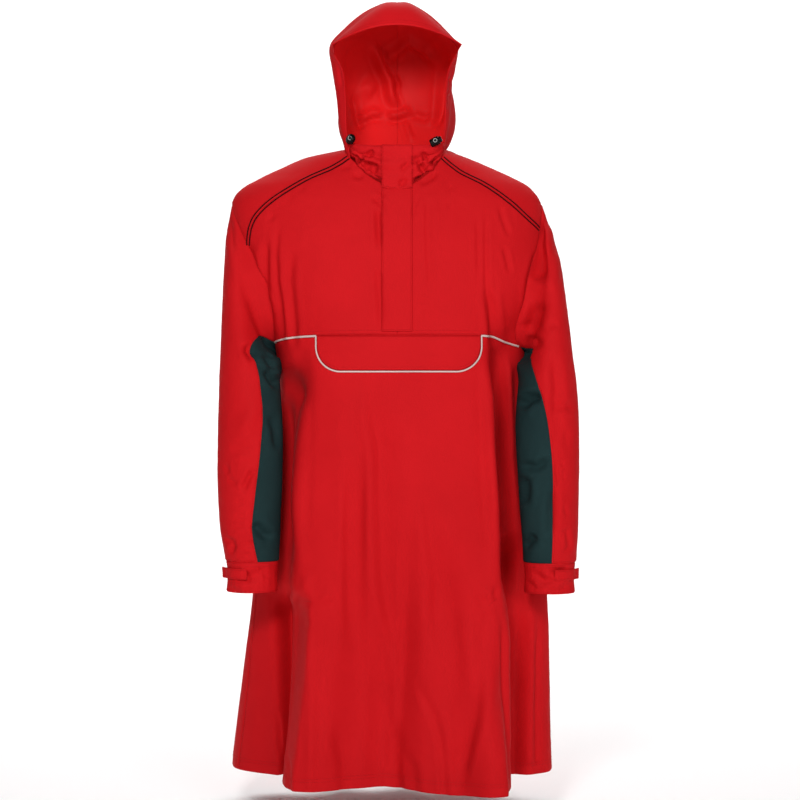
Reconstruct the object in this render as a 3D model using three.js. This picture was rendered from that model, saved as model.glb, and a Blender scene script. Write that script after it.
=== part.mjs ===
// A hooded rain cape with sleeves, hollow, held up at the neck and shoulders.
// Millimetres. X is across (the wearer's left is +X), the front faces -Y, +Z is up, and the
// origin is the middle of the neck's base. Angles go round the body from the front centre.
import * as THREE from 'three';
import { mergeVertices } from 'three/addons/utils/BufferGeometryUtils.js';

// Driving dimensions
const CLOTH = 1.8;              // wall of the coated cloth
const DOUBLE = 2.4;             // wall of cuffs, flaps and the peak, which are sewn double
const SEAM = 0.2;               // each piece stays this far from its seam line
const LAY = 0.6;                // clearance of a piece that lies on a panel
const HEM = -1066;              // the hem's height
const PLACKET = { half: 26, top: -70, bottom: -305 };
const FLAP = { right: -134, left: 139, top: -313, bottom: -370, corner: 40 };
const PIPING = { width: 4.5, thick: 1.6 };
const TAPE = { width: 9, thick: 1.2 };
const CUFF = { height: 52, steps: 4 };
const TAB = { height: 18, start: 82, end: -8, lift: 7, thick: 2 };
const LOCK = { radius: 8, length: 21 };
const LOCKS = {
  right: { along: 0.9, turn: 0, stand: 13.5 },
  left: { along: 0.62, turn: -66, stand: 7.1 },
};

// Steps along the seams: neighbours share them, so their edges match
const STEPS = {
  neckFront: 5, neckYoke: 8, neckBack: 26, yokeSeam: 9, chest: 7, under: 3, back: 6, side: 13,
};

// Sections of the body, from the neck to the hem: half widths to the wearer's right and left,
// depths to the front and back, and the power of the rounded oval.
const BODY = [
  { z: 20, right: 62, left: 60, front: 54, back: 56, power: 2.0 },
  { z: 16, right: 85, left: 83, front: 65, back: 67, power: 2.0 },
  { z: 13, right: 108, left: 93, front: 68, back: 71, power: 2.0 },
  { z: 7, right: 140, left: 108, front: 71, back: 75, power: 2.0 },
  { z: 0, right: 166, left: 128, front: 74, back: 79, power: 2.05 },
  { z: -17, right: 206, left: 170, front: 80, back: 86, power: 2.1 },
  { z: -31, right: 236, left: 200, front: 85, back: 91, power: 2.15 },
  { z: -51, right: 272, left: 232, front: 93, back: 98, power: 2.3 },
  { z: -79, right: 289, left: 250, front: 102, back: 106, power: 2.5 },
  { z: -150, right: 277, left: 256, front: 118, back: 116, power: 2.8 },
  { z: -230, right: 248, left: 249, front: 128, back: 120, power: 2.8 },
  { z: -338, right: 213, left: 222, front: 138, back: 124, power: 2.7 },
  { z: -450, right: 226, left: 231, front: 149, back: 133, power: 2.6 },
  { z: -600, right: 242, left: 250, front: 163, back: 147, power: 2.5 },
  { z: -765, right: 257, left: 262, front: 182, back: 166, power: 2.4 },
  { z: -900, right: 272, left: 267, front: 206, back: 186, power: 2.3 },
  { z: -1066, right: 291, left: 271, front: 246, back: 212, power: 2.2 },
];

// Folds: angle at the start and at the hem, half width in degrees, depth inwards at the full
// height (a ridge is negative), and the heights where the fold starts and is full.
const FOLDS = [
  { at: -8, hem: -9, half: 40, depth: 97, start: -560, full: -1066 },
  { at: 34, hem: 36, half: 13, depth: -28, start: -640, full: -1066 },
  { at: 68, hem: 68, half: 19, depth: 54, start: -215, full: -430 },
  { at: 64, hem: 64, half: 30, depth: 28, start: -700, full: -1066 },
  { at: -72, hem: -71, half: 25, depth: 50, start: -318, full: -420 },
  { at: -68, hem: -65, half: 34, depth: 40, start: -640, full: -1066 },
  { at: -112, hem: -112, half: 20, depth: -23, start: -600, full: -1066 },
  { at: -22, hem: -27, half: 8, depth: 8, start: -470, full: -620 },
  { at: 8, hem: 4, half: 8, depth: 9, start: -560, full: -760 },
  { at: 128, hem: 124, half: 15, depth: 34, start: -480, full: -1066 },
  { at: 160, hem: 157, half: 17, depth: 40, start: -420, full: -1066 },
  { at: -164, hem: -166, half: 16, depth: 34, start: -520, full: -1066 },
  { at: -140, hem: -137, half: 14, depth: 38, start: -560, full: -1066 },
];

// The neck seam: its height by the angle from the front centre
const NECK = [
  { angle: 0, z: -58 }, { angle: 17, z: -50 }, { angle: 33, z: -32 }, { angle: 50, z: -4 },
  { angle: 60, z: 9 }, { angle: 72, z: 15.2 }, { angle: 90, z: 15.8 }, { angle: 135, z: 13 },
  { angle: 180, z: 9 },
];

// Armholes: an egg in angle and height; turn is counted from its top towards the front
const ARMHOLE = { top: -74, bottom: -338, half: 18, egg: 0.4 };
const SIDES = {
  right: { sign: -1, yokeFront: 69, yokeBack: 300, chest: 151 },
  left: { sign: 1, yokeFront: 54, yokeBack: 300, chest: 158 },
};
const UNDER_BACK = 208;          // where the underarm panel's back edge meets the armhole
const YOKE_START = 50;           // angles where the yoke's seams leave the neck
const YOKE_END = 94;
const YOKE_FRONT = {
  right: [{ angle: 56, z: -21 }, { angle: 62, z: -37 }, { angle: 68, z: -69 }, { angle: 73, z: -107 }],
  left: [{ angle: 55, z: -27 }, { angle: 62, z: -50 }, { angle: 68, z: -82 }, { angle: 73, z: -109 }],
};
const YOKE_BACK = [{ angle: 102, z: -6 }, { angle: 108, z: -40 }, { angle: 109, z: -88 }];
const CHEST = { middle: -311, side: -314, sideAngle: 60 };

// Sleeves: the outer and inner point of each section, its middle and half depth in Y, and
// the turns where the dark panel's front and back edges lie.
const SLEEVES = {
  right: [
    { outX: -296, outZ: -118, inX: -222, inZ: -342, y: -8, depth: 79, front: 136, back: 222 },
    { outX: -300, outZ: -185, inX: -217, inZ: -352, y: -26, depth: 75, front: 122, back: 240 },
    { outX: -301, outZ: -260, inX: -209, inZ: -368, y: -50, depth: 69, front: 104, back: 250 },
    { outX: -302, outZ: -345, inX: -200, inZ: -398, y: -74, depth: 62, front: 112, back: 252 },
    { outX: -303, outZ: -430, inX: -195, inZ: -446, y: -88, depth: 57, front: 116, back: 252 },
    { outX: -304, outZ: -515, inX: -195, inZ: -515, y: -94, depth: 54, front: 111, back: 254 },
    { outX: -303, outZ: -585, inX: -197, inZ: -585, y: -96, depth: 51, front: 103, back: 254 },
    { outX: -300, outZ: -640, inX: -199, inZ: -640, y: -97, depth: 48, front: 98, back: 254 },
    { outX: -291, outZ: -692, inX: -201, inZ: -692, y: -97, depth: 43, front: 106, back: 252 },
  ],
  left: [
    { outX: 262, outZ: -112, inX: 233, inZ: -342, y: -8, depth: 78, front: 156, back: 222 },
    { outX: 281, outZ: -178, inX: 228, inZ: -352, y: -26, depth: 75, front: 152, back: 240 },
    { outX: 292, outZ: -255, inX: 219, inZ: -368, y: -50, depth: 69, front: 140, back: 250 },
    { outX: 301, outZ: -340, inX: 208, inZ: -398, y: -74, depth: 62, front: 118, back: 252 },
    { outX: 309, outZ: -425, inX: 203, inZ: -442, y: -88, depth: 57, front: 99, back: 252 },
    { outX: 310, outZ: -510, inX: 203, inZ: -510, y: -94, depth: 54, front: 88, back: 254 },
    { outX: 308, outZ: -580, inX: 207, inZ: -580, y: -96, depth: 51, front: 86, back: 254 },
    { outX: 307, outZ: -640, inX: 211, inZ: -640, y: -97, depth: 48, front: 88, back: 254 },
    { outX: 303, outZ: -694, inX: 214, inZ: -694, y: -97, depth: 43, front: 89, back: 252 },
  ],
};

// Hood: arches from the face opening to the nape. top is the arch's highest point in the
// middle plane; each shape gives, from the top down, how far out and up the arch is, as
// shares of the foot's distance and of the arch's height.
const ARCHES = [
  { share: 0, topY: -94, topZ: 256, shape: 'opening' },
  { share: 0.16, topY: -58, topZ: 263, shape: 'front' },
  { share: 0.42, topY: 22, topZ: 258, shape: 'crown' },
  { share: 0.66, topY: 96, topZ: 206, shape: 'crown' },
  { share: 0.86, topY: 106, topZ: 96, shape: 'crown' },
];
const ARCH_SHAPES = {
  opening: [
    { out: 0, up: 1 }, { out: 0.28, up: 0.995 }, { out: 0.62, up: 0.925 }, { out: 0.97, up: 0.83 },
    { out: 1.36, up: 0.71 }, { out: 1.16, up: 0.56 }, { out: 1.1, up: 0.38 }, { out: 1.08, up: 0.19 },
    { out: 1, up: 0 },
  ],
  front: [
    { out: 0, up: 1 }, { out: 0.34, up: 0.985 }, { out: 0.68, up: 0.93 }, { out: 1.0, up: 0.84 },
    { out: 1.32, up: 0.71 }, { out: 1.26, up: 0.55 }, { out: 1.18, up: 0.38 }, { out: 1.13, up: 0.19 },
    { out: 1, up: 0 },
  ],
  crown: [
    { out: 0, up: 1 }, { out: 0.4, up: 0.975 }, { out: 0.76, up: 0.9 }, { out: 1.04, up: 0.79 },
    { out: 1.2, up: 0.65 }, { out: 1.2, up: 0.49 }, { out: 1.15, up: 0.32 }, { out: 1.09, up: 0.16 },
    { out: 1, up: 0 },
  ],
};
const PEAK = { corner: 110, cornerY: -124, cornerZ: 180, y: -150, z: 207, bulge: 9, rows: 3, steps: 8 };
const COLLAR = {
  topY: -99, topZ: 12, sideY: -70, sideZ: 22, sideX: 80, rows: 6, roll: 4.5, rolls: 2.5, reach: 0.93,
};

// Colours and finish
const red = () => new THREE.MeshStandardMaterial({ color: 0xc41e24, roughness: 0.6, metalness: 0 });
const dark = () => new THREE.MeshStandardMaterial({ color: 0x213434, roughness: 0.75, metalness: 0 });
const silver = () => new THREE.MeshStandardMaterial({ color: 0xb8b4b0, roughness: 0.4, metalness: 0 });
const black = () => new THREE.MeshStandardMaterial({ color: 0x17181a, roughness: 0.45, metalness: 0 });

const group = new THREE.Group();
const rad = THREE.MathUtils.degToRad;
const mix = THREE.MathUtils.lerp;
const smooth = (t) => THREE.MathUtils.smoothstep(t, 0, 1);
const vec = (x, y, z) => new THREE.Vector3(x, y, z);
const count = (n) => Array.from({ length: n + 1 }, (_, i) => i / n);

// A smooth curve through a table: the value of a column at a given key
function along(table, key, at, column) {
  const rising = table[0][key] < table[table.length - 1][key];
  const rows = rising ? table : [...table].reverse();
  let i = rows.findIndex((row) => row[key] > at) - 1;
  if (at <= rows[0][key]) i = 0;
  if (at >= rows[rows.length - 1][key]) i = rows.length - 2;
  const slope = (k) => {
    const before = rows[Math.max(k - 1, 0)];
    const after = rows[Math.min(k + 1, rows.length - 1)];
    return (after[column] - before[column]) / (after[key] - before[key]);
  };
  const span = rows[i + 1][key] - rows[i][key];
  const t = (at - rows[i][key]) / span;
  const rise = 3 * t * t - 2 * t * t * t;
  const startPull = t * (1 - t) * (1 - t) * span * slope(i);
  const endPull = t * t * (1 - t) * span * slope(i + 1);
  return mix(rows[i][column], rows[i + 1][column], rise) + startPull - endPull;
}

// The body's surface: a point by its angle and height
function foldDepth(angle, z) {
  let depth = 0;
  for (const fold of FOLDS) {
    const share = THREE.MathUtils.clamp((fold.start - z) / (fold.start - HEM), 0, 1);
    const at = mix(fold.at, fold.hem, share);
    const away = Math.abs(((angle - at + 540) % 360) - 180) / fold.half;
    if (away >= 1) continue;
    const grown = smooth((fold.start - z) / (fold.start - fold.full));
    depth += fold.depth * grown * Math.cos(away * Math.PI / 2) ** 2;
  }
  return depth;
}

function body(angle, z) {
  const turned = ((angle + 540) % 360) - 180;
  const across = Math.sin(rad(turned));
  const ahead = Math.cos(rad(turned));
  const power = along(BODY, 'z', z, 'power');
  const half = along(BODY, 'z', z, across < 0 ? 'right' : 'left');
  const depth = along(BODY, 'z', z, ahead > 0 ? 'front' : 'back');
  const sum = (Math.abs(across) / half) ** power + (Math.abs(ahead) / depth) ** power;
  const base = sum ** (-1 / power);
  const radius = base - foldDepth(turned, z);
  return vec(radius * across, -radius * ahead, z);
}

function bodyNormal(angle, z) {
  const round = body(angle + 0.3, z).sub(body(angle - 0.3, z));
  const up = body(angle, z + 0.5).sub(body(angle, z - 0.5));
  return round.cross(up).normalize();
}

// The angle on the front where the surface is x from the middle
function angleAt(x, z) {
  let low = -85;
  let high = 85;
  for (let i = 0; i < 40; i += 1) {
    const middle = (low + high) / 2;
    if (body(middle, z).x < x) low = middle;
    else high = middle;
  }
  return low;
}

// A closed solid from its triangles, turned outwards
function solid(name, points, triangles, material) {
  const raw = new THREE.BufferGeometry();
  raw.setAttribute('position', new THREE.Float32BufferAttribute(points.flatMap((p) => [p.x, p.y, p.z]), 3));
  raw.setIndex(triangles.flat());
  const merged = mergeVertices(raw, 1e-4);
  const index = Array.from(merged.index.array);
  const place = merged.attributes.position;
  const corner = (i) => new THREE.Vector3().fromBufferAttribute(place, i);
  const kept = [];
  let volume = 0;
  for (let i = 0; i < index.length; i += 3) {
    const [a, b, c] = index.slice(i, i + 3);
    if (a === b || b === c || a === c) continue;
    kept.push([a, b, c]);
    volume += corner(a).dot(corner(b).cross(corner(c)));
  }
  merged.setIndex(kept.flatMap(([a, b, c]) => (volume < 0 ? [a, c, b] : [a, b, c])));
  merged.computeVertexNormals();
  const mesh = new THREE.Mesh(merged, material);
  mesh.name = name;
  group.add(mesh);
  return mesh;
}

// A wall between a grid of outer points and the grid of points behind them
function wall(name, outer, inner, material, closed = false) {
  const rows = outer.length;
  const columns = outer[0].length;
  const points = [...outer.flat(), ...inner.flat()];
  const back = rows * columns;
  const at = (r, c) => r * columns + (c % columns);
  const triangles = [];
  const quad = (a, b, c, d) => triangles.push([a, b, c], [a, c, d]);
  const last = closed ? columns : columns - 1;
  for (let r = 0; r < rows - 1; r += 1) {
    for (let c = 0; c < last; c += 1) {
      quad(at(r, c), at(r, c + 1), at(r + 1, c + 1), at(r + 1, c));
      quad(back + at(r, c), back + at(r + 1, c), back + at(r + 1, c + 1), back + at(r, c + 1));
    }
  }
  for (let c = 0; c < last; c += 1) {
    quad(at(0, c + 1), at(0, c), back + at(0, c), back + at(0, c + 1));
    quad(at(rows - 1, c), at(rows - 1, c + 1), back + at(rows - 1, c + 1), back + at(rows - 1, c));
  }
  if (!closed) {
    const end = columns - 1;
    for (let r = 0; r < rows - 1; r += 1) {
      quad(at(r, 0), at(r + 1, 0), back + at(r + 1, 0), back + at(r, 0));
      quad(at(r + 1, end), at(r, end), back + at(r, end), back + at(r + 1, end));
    }
  }
  return solid(name, points, triangles, material);
}

// Draw a grid's edges in along the surface, so that neighbours stay clear at their seam
function drawIn(grid, normals, by, ends = false) {
  const rows = grid.length;
  const columns = grid[0].length;
  const moved = grid.map((row) => row.map((p) => p.clone()));
  const pull = (r, c, before, after, within) => {
    const way = after.clone().sub(before).cross(normals[r][c]).normalize();
    if (way.dot(within.clone().sub(grid[r][c])) < 0) way.negate();
    moved[r][c].addScaledVector(way, by);
  };
  for (let c = 0; c < columns; c += 1) {
    const before = Math.max(c - 1, 0);
    const after = Math.min(c + 1, columns - 1);
    pull(0, c, grid[0][before], grid[0][after], grid[2][c]);
    pull(rows - 1, c, grid[rows - 1][before], grid[rows - 1][after], grid[rows - 3][c]);
  }
  if (ends) return moved;
  for (let r = 0; r < rows; r += 1) {
    const before = Math.max(r - 1, 0);
    const after = Math.min(r + 1, rows - 1);
    pull(r, 0, grid[before][0], grid[after][0], grid[r][2]);
    pull(r, columns - 1, grid[before][columns - 1], grid[after][columns - 1], grid[r][columns - 3]);
  }
  return moved;
}

// Normals of a free grid, pointing away from a point inside
function gridNormals(grid, inside, closed = false) {
  const rows = grid.length;
  const columns = grid[0].length;
  return grid.map((row, r) => row.map((p, c) => {
    const left = closed ? row[(c + columns - 1) % columns] : row[Math.max(c - 1, 0)];
    const right = closed ? row[(c + 1) % columns] : row[Math.min(c + 1, columns - 1)];
    const up = grid[Math.min(r + 1, rows - 1)][c];
    const down = grid[Math.max(r - 1, 0)][c];
    const n = right.clone().sub(left).cross(up.clone().sub(down)).normalize();
    const away = p.clone().sub(inside(r, c));
    return n.dot(away) < 0 ? n.negate() : n;
  }));
}

function shift(grid, normals, by) {
  return grid.map((row, r) => row.map((p, c) => p.clone().addScaledVector(normals[r][c], by)));
}

function freeWall(name, grid, inside, thick, material, closed = false) {
  const normals = gridNormals(grid, inside, closed);
  const drawn = drawIn(grid, normals, SEAM, closed);
  return wall(name, drawn, shift(drawn, normals, -thick), material, closed);
}

// Two or more walls cut from one grid at its columns, so that they match along their seams
function splitWall(parts, grid, inside, thick, closed = false) {
  const normals = gridNormals(grid, inside, closed);
  const columns = grid[0].length;
  for (const { name, from, to, material } of parts) {
    const pick = (rows) => rows.map((row) => count(to - from).map((_, i) => row[(from + i) % columns]));
    const drawn = drawIn(pick(grid), pick(normals), SEAM);
    wall(name, drawn, shift(drawn, pick(normals), -thick), material);
  }
}

// A panel of the body, filled in between its four edges of angles and heights
function panel(name, bottom, top, start, end, material) {
  const columns = bottom.length - 1;
  const rows = start.length - 1;
  const blend = (key, u, v, c, r) => (1 - v) * bottom[c][key] + v * top[c][key]
    + (1 - u) * start[r][key] + u * end[r][key]
    - (1 - u) * (1 - v) * bottom[0][key] - u * (1 - v) * bottom[columns][key]
    - (1 - u) * v * top[0][key] - u * v * top[columns][key];
  const places = start.map((_, r) => bottom.map((__, c) => ({
    angle: blend('angle', c / columns, r / rows, c, r),
    z: blend('z', c / columns, r / rows, c, r),
  })));
  const grid = places.map((row) => row.map((p) => body(p.angle, p.z)));
  const normals = places.map((row) => row.map((p) => bodyNormal(p.angle, p.z)));
  const drawn = drawIn(grid, normals, SEAM);
  wall(name, drawn, shift(drawn, normals, -CLOTH), material);
}

// Seam lines as lists of angles and heights; they are counted round from the front centre
const neckZ = (angle) => along(NECK, 'angle', Math.abs(angle), 'z');
const neckLine = (from, to, steps) => count(steps).map((t) => {
  const angle = mix(from, to, t);
  return { angle, z: neckZ(angle > 180 ? 360 - angle : angle) };
});

function throughPlaces(places, steps) {
  const curve = new THREE.CatmullRomCurve3(places.map((p) => vec(p.angle, p.z, 0)), false, 'centripetal');
  return curve.getSpacedPoints(steps).map((p) => ({ angle: p.x, z: p.y }));
}

function armhole(sign, turn) {
  const middle = (ARMHOLE.top + ARMHOLE.bottom) / 2;
  const tall = (ARMHOLE.top - ARMHOLE.bottom) / 2;
  const up = Math.cos(rad(turn));
  const away = ARMHOLE.half * Math.sin(rad(turn)) * (1 - ARMHOLE.egg * up);
  return { angle: sign * (90 - away), z: middle + tall * up };
}

const turns = (from, to, steps) => count(steps).map((t) => mix(from, to, t));
const holeLine = (sign, from, to, steps) => turns(from, to, steps).map((turn) => armhole(sign, turn));
const join = (...lines) => lines.reduce((all, line) => [...all, ...(all.length ? line.slice(1) : line)], []);
const mirrorPlaces = (places, sign) => places.map((p) => ({ angle: sign * p.angle, z: p.z }));

function yokeFrontSeam(side) {
  const { sign, yokeFront } = SIDES[side];
  const start = { angle: sign * YOKE_START, z: neckZ(YOKE_START) };
  const places = [start, ...mirrorPlaces(YOKE_FRONT[side], sign), armhole(sign, yokeFront)];
  return throughPlaces(places, STEPS.yokeSeam);
}

function yokeBackSeam(side) {
  const { sign, yokeBack } = SIDES[side];
  const start = { angle: sign * YOKE_END, z: neckZ(YOKE_END) };
  const places = [start, ...mirrorPlaces(YOKE_BACK, sign), armhole(sign, yokeBack)];
  return throughPlaces(places, STEPS.yokeSeam);
}

// The chest seam from the front centre to the armhole
function chestSeam(side) {
  const { sign, chest } = SIDES[side];
  const places = [
    { angle: 0, z: CHEST.middle }, { angle: sign * CHEST.sideAngle / 2, z: CHEST.middle },
    { angle: sign * CHEST.sideAngle, z: CHEST.side }, armhole(sign, chest),
  ];
  return throughPlaces(places, STEPS.neckFront + STEPS.yokeSeam);
}

function makeChest(side) {
  const { sign, yokeFront, chest } = SIDES[side];
  const neck = mirrorPlaces(neckLine(0, YOKE_START, STEPS.neckFront), sign);
  const top = join(neck, yokeFrontSeam(side));
  const middle = count(STEPS.chest).map((t) => ({ angle: 0, z: mix(CHEST.middle, neckZ(0), t) }));
  const hole = holeLine(sign, chest, yokeFront, STEPS.chest);
  panel(`chest_${side}`, chestSeam(side), top, middle, hole, red());
}

function makeYoke(side) {
  const { sign, yokeFront, yokeBack } = SIDES[side];
  const neck = mirrorPlaces(neckLine(YOKE_START, YOKE_END, STEPS.neckYoke), sign);
  const hole = holeLine(sign, yokeFront, yokeBack - 360, STEPS.neckYoke);
  panel(`yoke_${side}`, yokeFrontSeam(side), yokeBackSeam(side), neck, hole, red());
}

const sideSeam = (sign) => count(STEPS.side).map((t) => ({
  angle: sign * 90, z: mix(HEM, ARMHOLE.bottom, t),
}));

function makeFrontSkirt() {
  const hemLine = count(2 * (STEPS.under + STEPS.neckFront + STEPS.yokeSeam)).map((t) => ({
    angle: mix(-90, 90, t), z: HEM,
  }));
  const right = holeLine(-1, 180, SIDES.right.chest, STEPS.under);
  const left = holeLine(1, SIDES.left.chest, 180, STEPS.under);
  const top = join(right, [...chestSeam('right')].reverse(), chestSeam('left'), left);
  panel('front_skirt', hemLine, top, sideSeam(-1), sideSeam(1), red());
}

function makeBack() {
  const hemLine = count(STEPS.neckBack).map((t) => ({ angle: mix(90, 270, t), z: HEM }));
  const around = (line) => line.map((p) => ({ angle: p.angle < 0 ? p.angle + 360 : p.angle, z: p.z }));
  const edge = (side) => {
    const { sign, yokeBack } = SIDES[side];
    const under = holeLine(sign, 180, UNDER_BACK, STEPS.under);
    const hole = holeLine(sign, UNDER_BACK, yokeBack, STEPS.back);
    return join(sideSeam(sign), under, hole, [...yokeBackSeam(side)].reverse());
  };
  const top = neckLine(YOKE_END, 360 - YOKE_END, STEPS.neckBack);
  panel('back', hemLine, top, edge('left'), around(edge('right')), red());
}

// Sleeves: sections through the same turns as the armhole, red outside and dark inside
function sleeveTurns(side, front, back) {
  const { yokeFront, chest, yokeBack } = SIDES[side];
  const hole = join(
    turns(UNDER_BACK, yokeBack, STEPS.back),
    turns(yokeBack, yokeFront + 360, STEPS.neckYoke),
    turns(yokeFront + 360, chest + 360, STEPS.chest),
  );
  const share = (turn) => (turn - UNDER_BACK) / (chest + 360 - UNDER_BACK);
  const outerTurns = hole.map((turn) => mix(back, front + 360, share(turn)));
  const under = join(turns(chest, 180, STEPS.under), turns(180, UNDER_BACK, STEPS.under));
  const innerTurns = under.map((turn) => mix(front, back, (turn - chest) / (UNDER_BACK - chest)));
  return { hole, outerTurns, under, innerTurns };
}

function sleevePoint(section, turn) {
  const outward = Math.cos(rad(turn));
  const ahead = Math.sin(rad(turn));
  const x = (section.outX + section.inX) / 2 + (section.outX - section.inX) / 2 * outward;
  const z = (section.outZ + section.inZ) / 2 + (section.outZ - section.inZ) / 2 * outward;
  return vec(x, section.y - section.depth * ahead, z);
}

function makeSleeve(side) {
  const { sign } = SIDES[side];
  const sections = SLEEVES[side];
  const start = sleeveTurns(side, sections[0].front, sections[0].back);
  const rings = [[...start.hole.slice(0, -1), ...start.under.slice(0, -1)].map((turn) => {
    const place = armhole(sign, turn);
    return body(place.angle, place.z);
  })];
  const middles = [vec(sign * 240, 0, (ARMHOLE.top + ARMHOLE.bottom) / 2)];
  for (const section of sections) {
    const { outerTurns, innerTurns } = sleeveTurns(side, section.front, section.back);
    const ring = [...outerTurns.slice(0, -1), ...innerTurns.slice(0, -1)];
    rings.push(ring.map((turn) => sleevePoint(section, turn)));
    middles.push(vec((section.outX + section.inX) / 2, section.y, (section.outZ + section.inZ) / 2));
  }
  const outerSteps = start.hole.length - 1;
  const parts = [
    { name: `sleeve_${side}`, from: 0, to: outerSteps, material: red() },
    { name: `underarm_panel_${side}`, from: outerSteps, to: rings[0].length, material: dark() },
  ];
  splitWall(parts, rings, (r) => middles[r], CLOTH, true);
}

// Cuffs: a gathered band below the sleeve's last section, and a strap tab round its outside
function cuffRing(side, drop, out) {
  const last = SLEEVES[side][SLEEVES[side].length - 1];
  const share = drop / CUFF.height;
  const squeeze = 1 - 0.05 * Math.sin(Math.PI * share);
  return {
    x: (last.outX + last.inX) / 2,
    y: last.y,
    z: last.outZ - SEAM - drop,
    half: Math.abs(last.outX - last.inX) / 2 * squeeze * 0.98 + out,
    depth: last.depth * squeeze + out,
  };
}

function makeCuff(side) {
  const steps = 24;
  const grid = count(CUFF.steps).map((t) => {
    const ring = cuffRing(side, t * CUFF.height, 0);
    return Array.from({ length: steps }, (_, i) => {
      const turn = rad(i * 360 / steps);
      return vec(ring.x + ring.half * Math.cos(turn), ring.y + ring.depth * Math.sin(turn), ring.z);
    });
  });
  const ring = cuffRing(side, 0, 0);
  freeWall(`cuff_${side}`, grid, (r) => vec(ring.x, ring.y, grid[r][0].z), DOUBLE, red(), true);
}

function makeTab(side) {
  const { sign } = SIDES[side];
  const grid = count(2).map((t) => count(12).map((u) => {
    const turn = rad(mix(TAB.start, TAB.end, u));
    const out = LAY + TAB.thick + TAB.lift * smooth((u - 0.72) / 0.28);
    const ring = cuffRing(side, CUFF.height * 0.22 + t * TAB.height, out);
    return vec(ring.x + sign * ring.half * Math.cos(turn), ring.y - ring.depth * Math.sin(turn), ring.z);
  }));
  const ring = cuffRing(side, 0, 0);
  const normals = gridNormals(grid, (r) => vec(ring.x, ring.y, grid[r][0].z));
  wall(`cuff_tab_${side}`, grid, shift(grid, normals, -TAB.thick), red());
}

// Hood: the arches' feet stand on the neck seam from YOKE_START to YOKE_END
const neckPoint = (angle) => body(angle, neckZ(angle > 180 ? 360 - angle : angle));
const HOOD_LIFT = 2 * SEAM;      // above the neck seam

function archPoint(arch, sign, share, t) {
  const foot = neckPoint(sign * mix(YOKE_START, YOKE_END, share));
  const shape = ARCH_SHAPES[arch.shape].map((row, i, rows) => ({ ...row, at: i / (rows.length - 1) }));
  const out = along(shape, 'at', t, 'out');
  const up = along(shape, 'at', t, 'up');
  return vec(foot.x * out, mix(foot.y, arch.topY, up), mix(foot.z + HOOD_LIFT, arch.topZ, up));
}

// One half of the hood as rows from the opening to the nape, columns from the top to the foot
function hoodGrid(side) {
  const { sign } = SIDES[side];
  const half = STEPS.neckBack / 2;
  const rows = 10;
  const lines = count(half).map((t) => {
    const keys = ARCHES.map((arch) => archPoint(arch, sign, arch.share, t));
    const nape = neckPoint(sign * mix(180, YOKE_END, t));
    keys.push(nape.setZ(nape.z + HOOD_LIFT));
    return new THREE.CatmullRomCurve3(keys, false, 'centripetal').getPoints(rows * 6);
  });
  return count(rows).map((s) => lines.map((line) => line[Math.round(s * rows * 6)]));
}

function makeHood() {
  const rows = hoodGrid('right').map((row, r) => [...[...row].reverse(), ...hoodGrid('left')[r].slice(1)]);
  const half = STEPS.neckBack / 2;
  const parts = [
    { name: 'hood_right', from: 0, to: half, material: red() },
    { name: 'hood_left', from: half, to: 2 * half, material: red() },
  ];
  splitWall(parts, rows, () => vec(0, 0, 130), CLOTH);
}

// The peak goes from the opening's upper edge forwards and down
function makePeak() {
  const upper = [...hoodGrid('right')[0].slice(0, PEAK.steps)].reverse();
  const edge = [...upper, ...hoodGrid('left')[0].slice(1, PEAK.steps)];
  const grid = count(PEAK.rows).map((t) => edge.map((p, i) => {
    const u = i / (edge.length - 1) * 2 - 1;
    const rise = 1 - u * u;
    const low = vec(PEAK.corner * u, mix(PEAK.cornerY, PEAK.y, rise), mix(PEAK.cornerZ, PEAK.z, rise));
    const swell = PEAK.bulge * Math.sin(Math.PI * t) * rise;
    const from = p.clone().add(vec(0, -2 * SEAM - 0.4, 0));
    return from.lerp(low, t).add(vec(0, -swell, swell));
  }));
  freeWall('hood_peak', grid, () => vec(0, -60, 150), CLOTH, red());
}

// Collar: stands on the front of the neck seam, in two halves that meet at the zip
function collarPoint(x01, t, sign) {
  const foot = neckPoint(sign * YOKE_START * x01);
  const top = vec(sign * COLLAR.sideX * Math.sin(x01 * Math.PI / 2),
    mix(COLLAR.topY, COLLAR.sideY, x01 ** 2), mix(COLLAR.topZ, COLLAR.sideZ, x01 ** 2));
  const fade = Math.sin(Math.PI * t) * Math.sin(Math.PI * x01);
  const wave = COLLAR.roll * Math.sin(t * COLLAR.rolls * 2 * Math.PI) * fade;
  const point = foot.setZ(foot.z + 3 * SEAM).lerp(top, t);
  return point.add(vec(0, -wave, 0));
}

function makeCollar() {
  const steps = STEPS.neckFront * 2;
  const grid = count(COLLAR.rows).map((t) => count(steps * 2).map((u) => {
    const across = (u * 2 - 1) * COLLAR.reach;
    return collarPoint(Math.abs(across), t, Math.sign(across) || 1);
  }));
  const parts = [
    { name: 'collar_right', from: 0, to: steps, material: red() },
    { name: 'collar_left', from: steps, to: 2 * steps, material: red() },
  ];
  splitWall(parts, grid, () => vec(0, -10, -20), CLOTH);
}

// The chin flap covers the collar's zip
function makeChinFlap() {
  const grid = count(5).map((t) => count(6).map((u) => {
    const x = mix(-PLACKET.half, PLACKET.half, u);
    const base = collarPoint(Math.abs(x) / COLLAR.sideX * 0.62, mix(-0.1, 1, t), Math.sign(x) || 1);
    return vec(x, base.y - LAY - DOUBLE - 2.1, base.z + 1);
  }));
  wall('chin_flap', grid, grid.map((row) => row.map((p) => vec(p.x, p.y + DOUBLE, p.z))), red());
}

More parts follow.
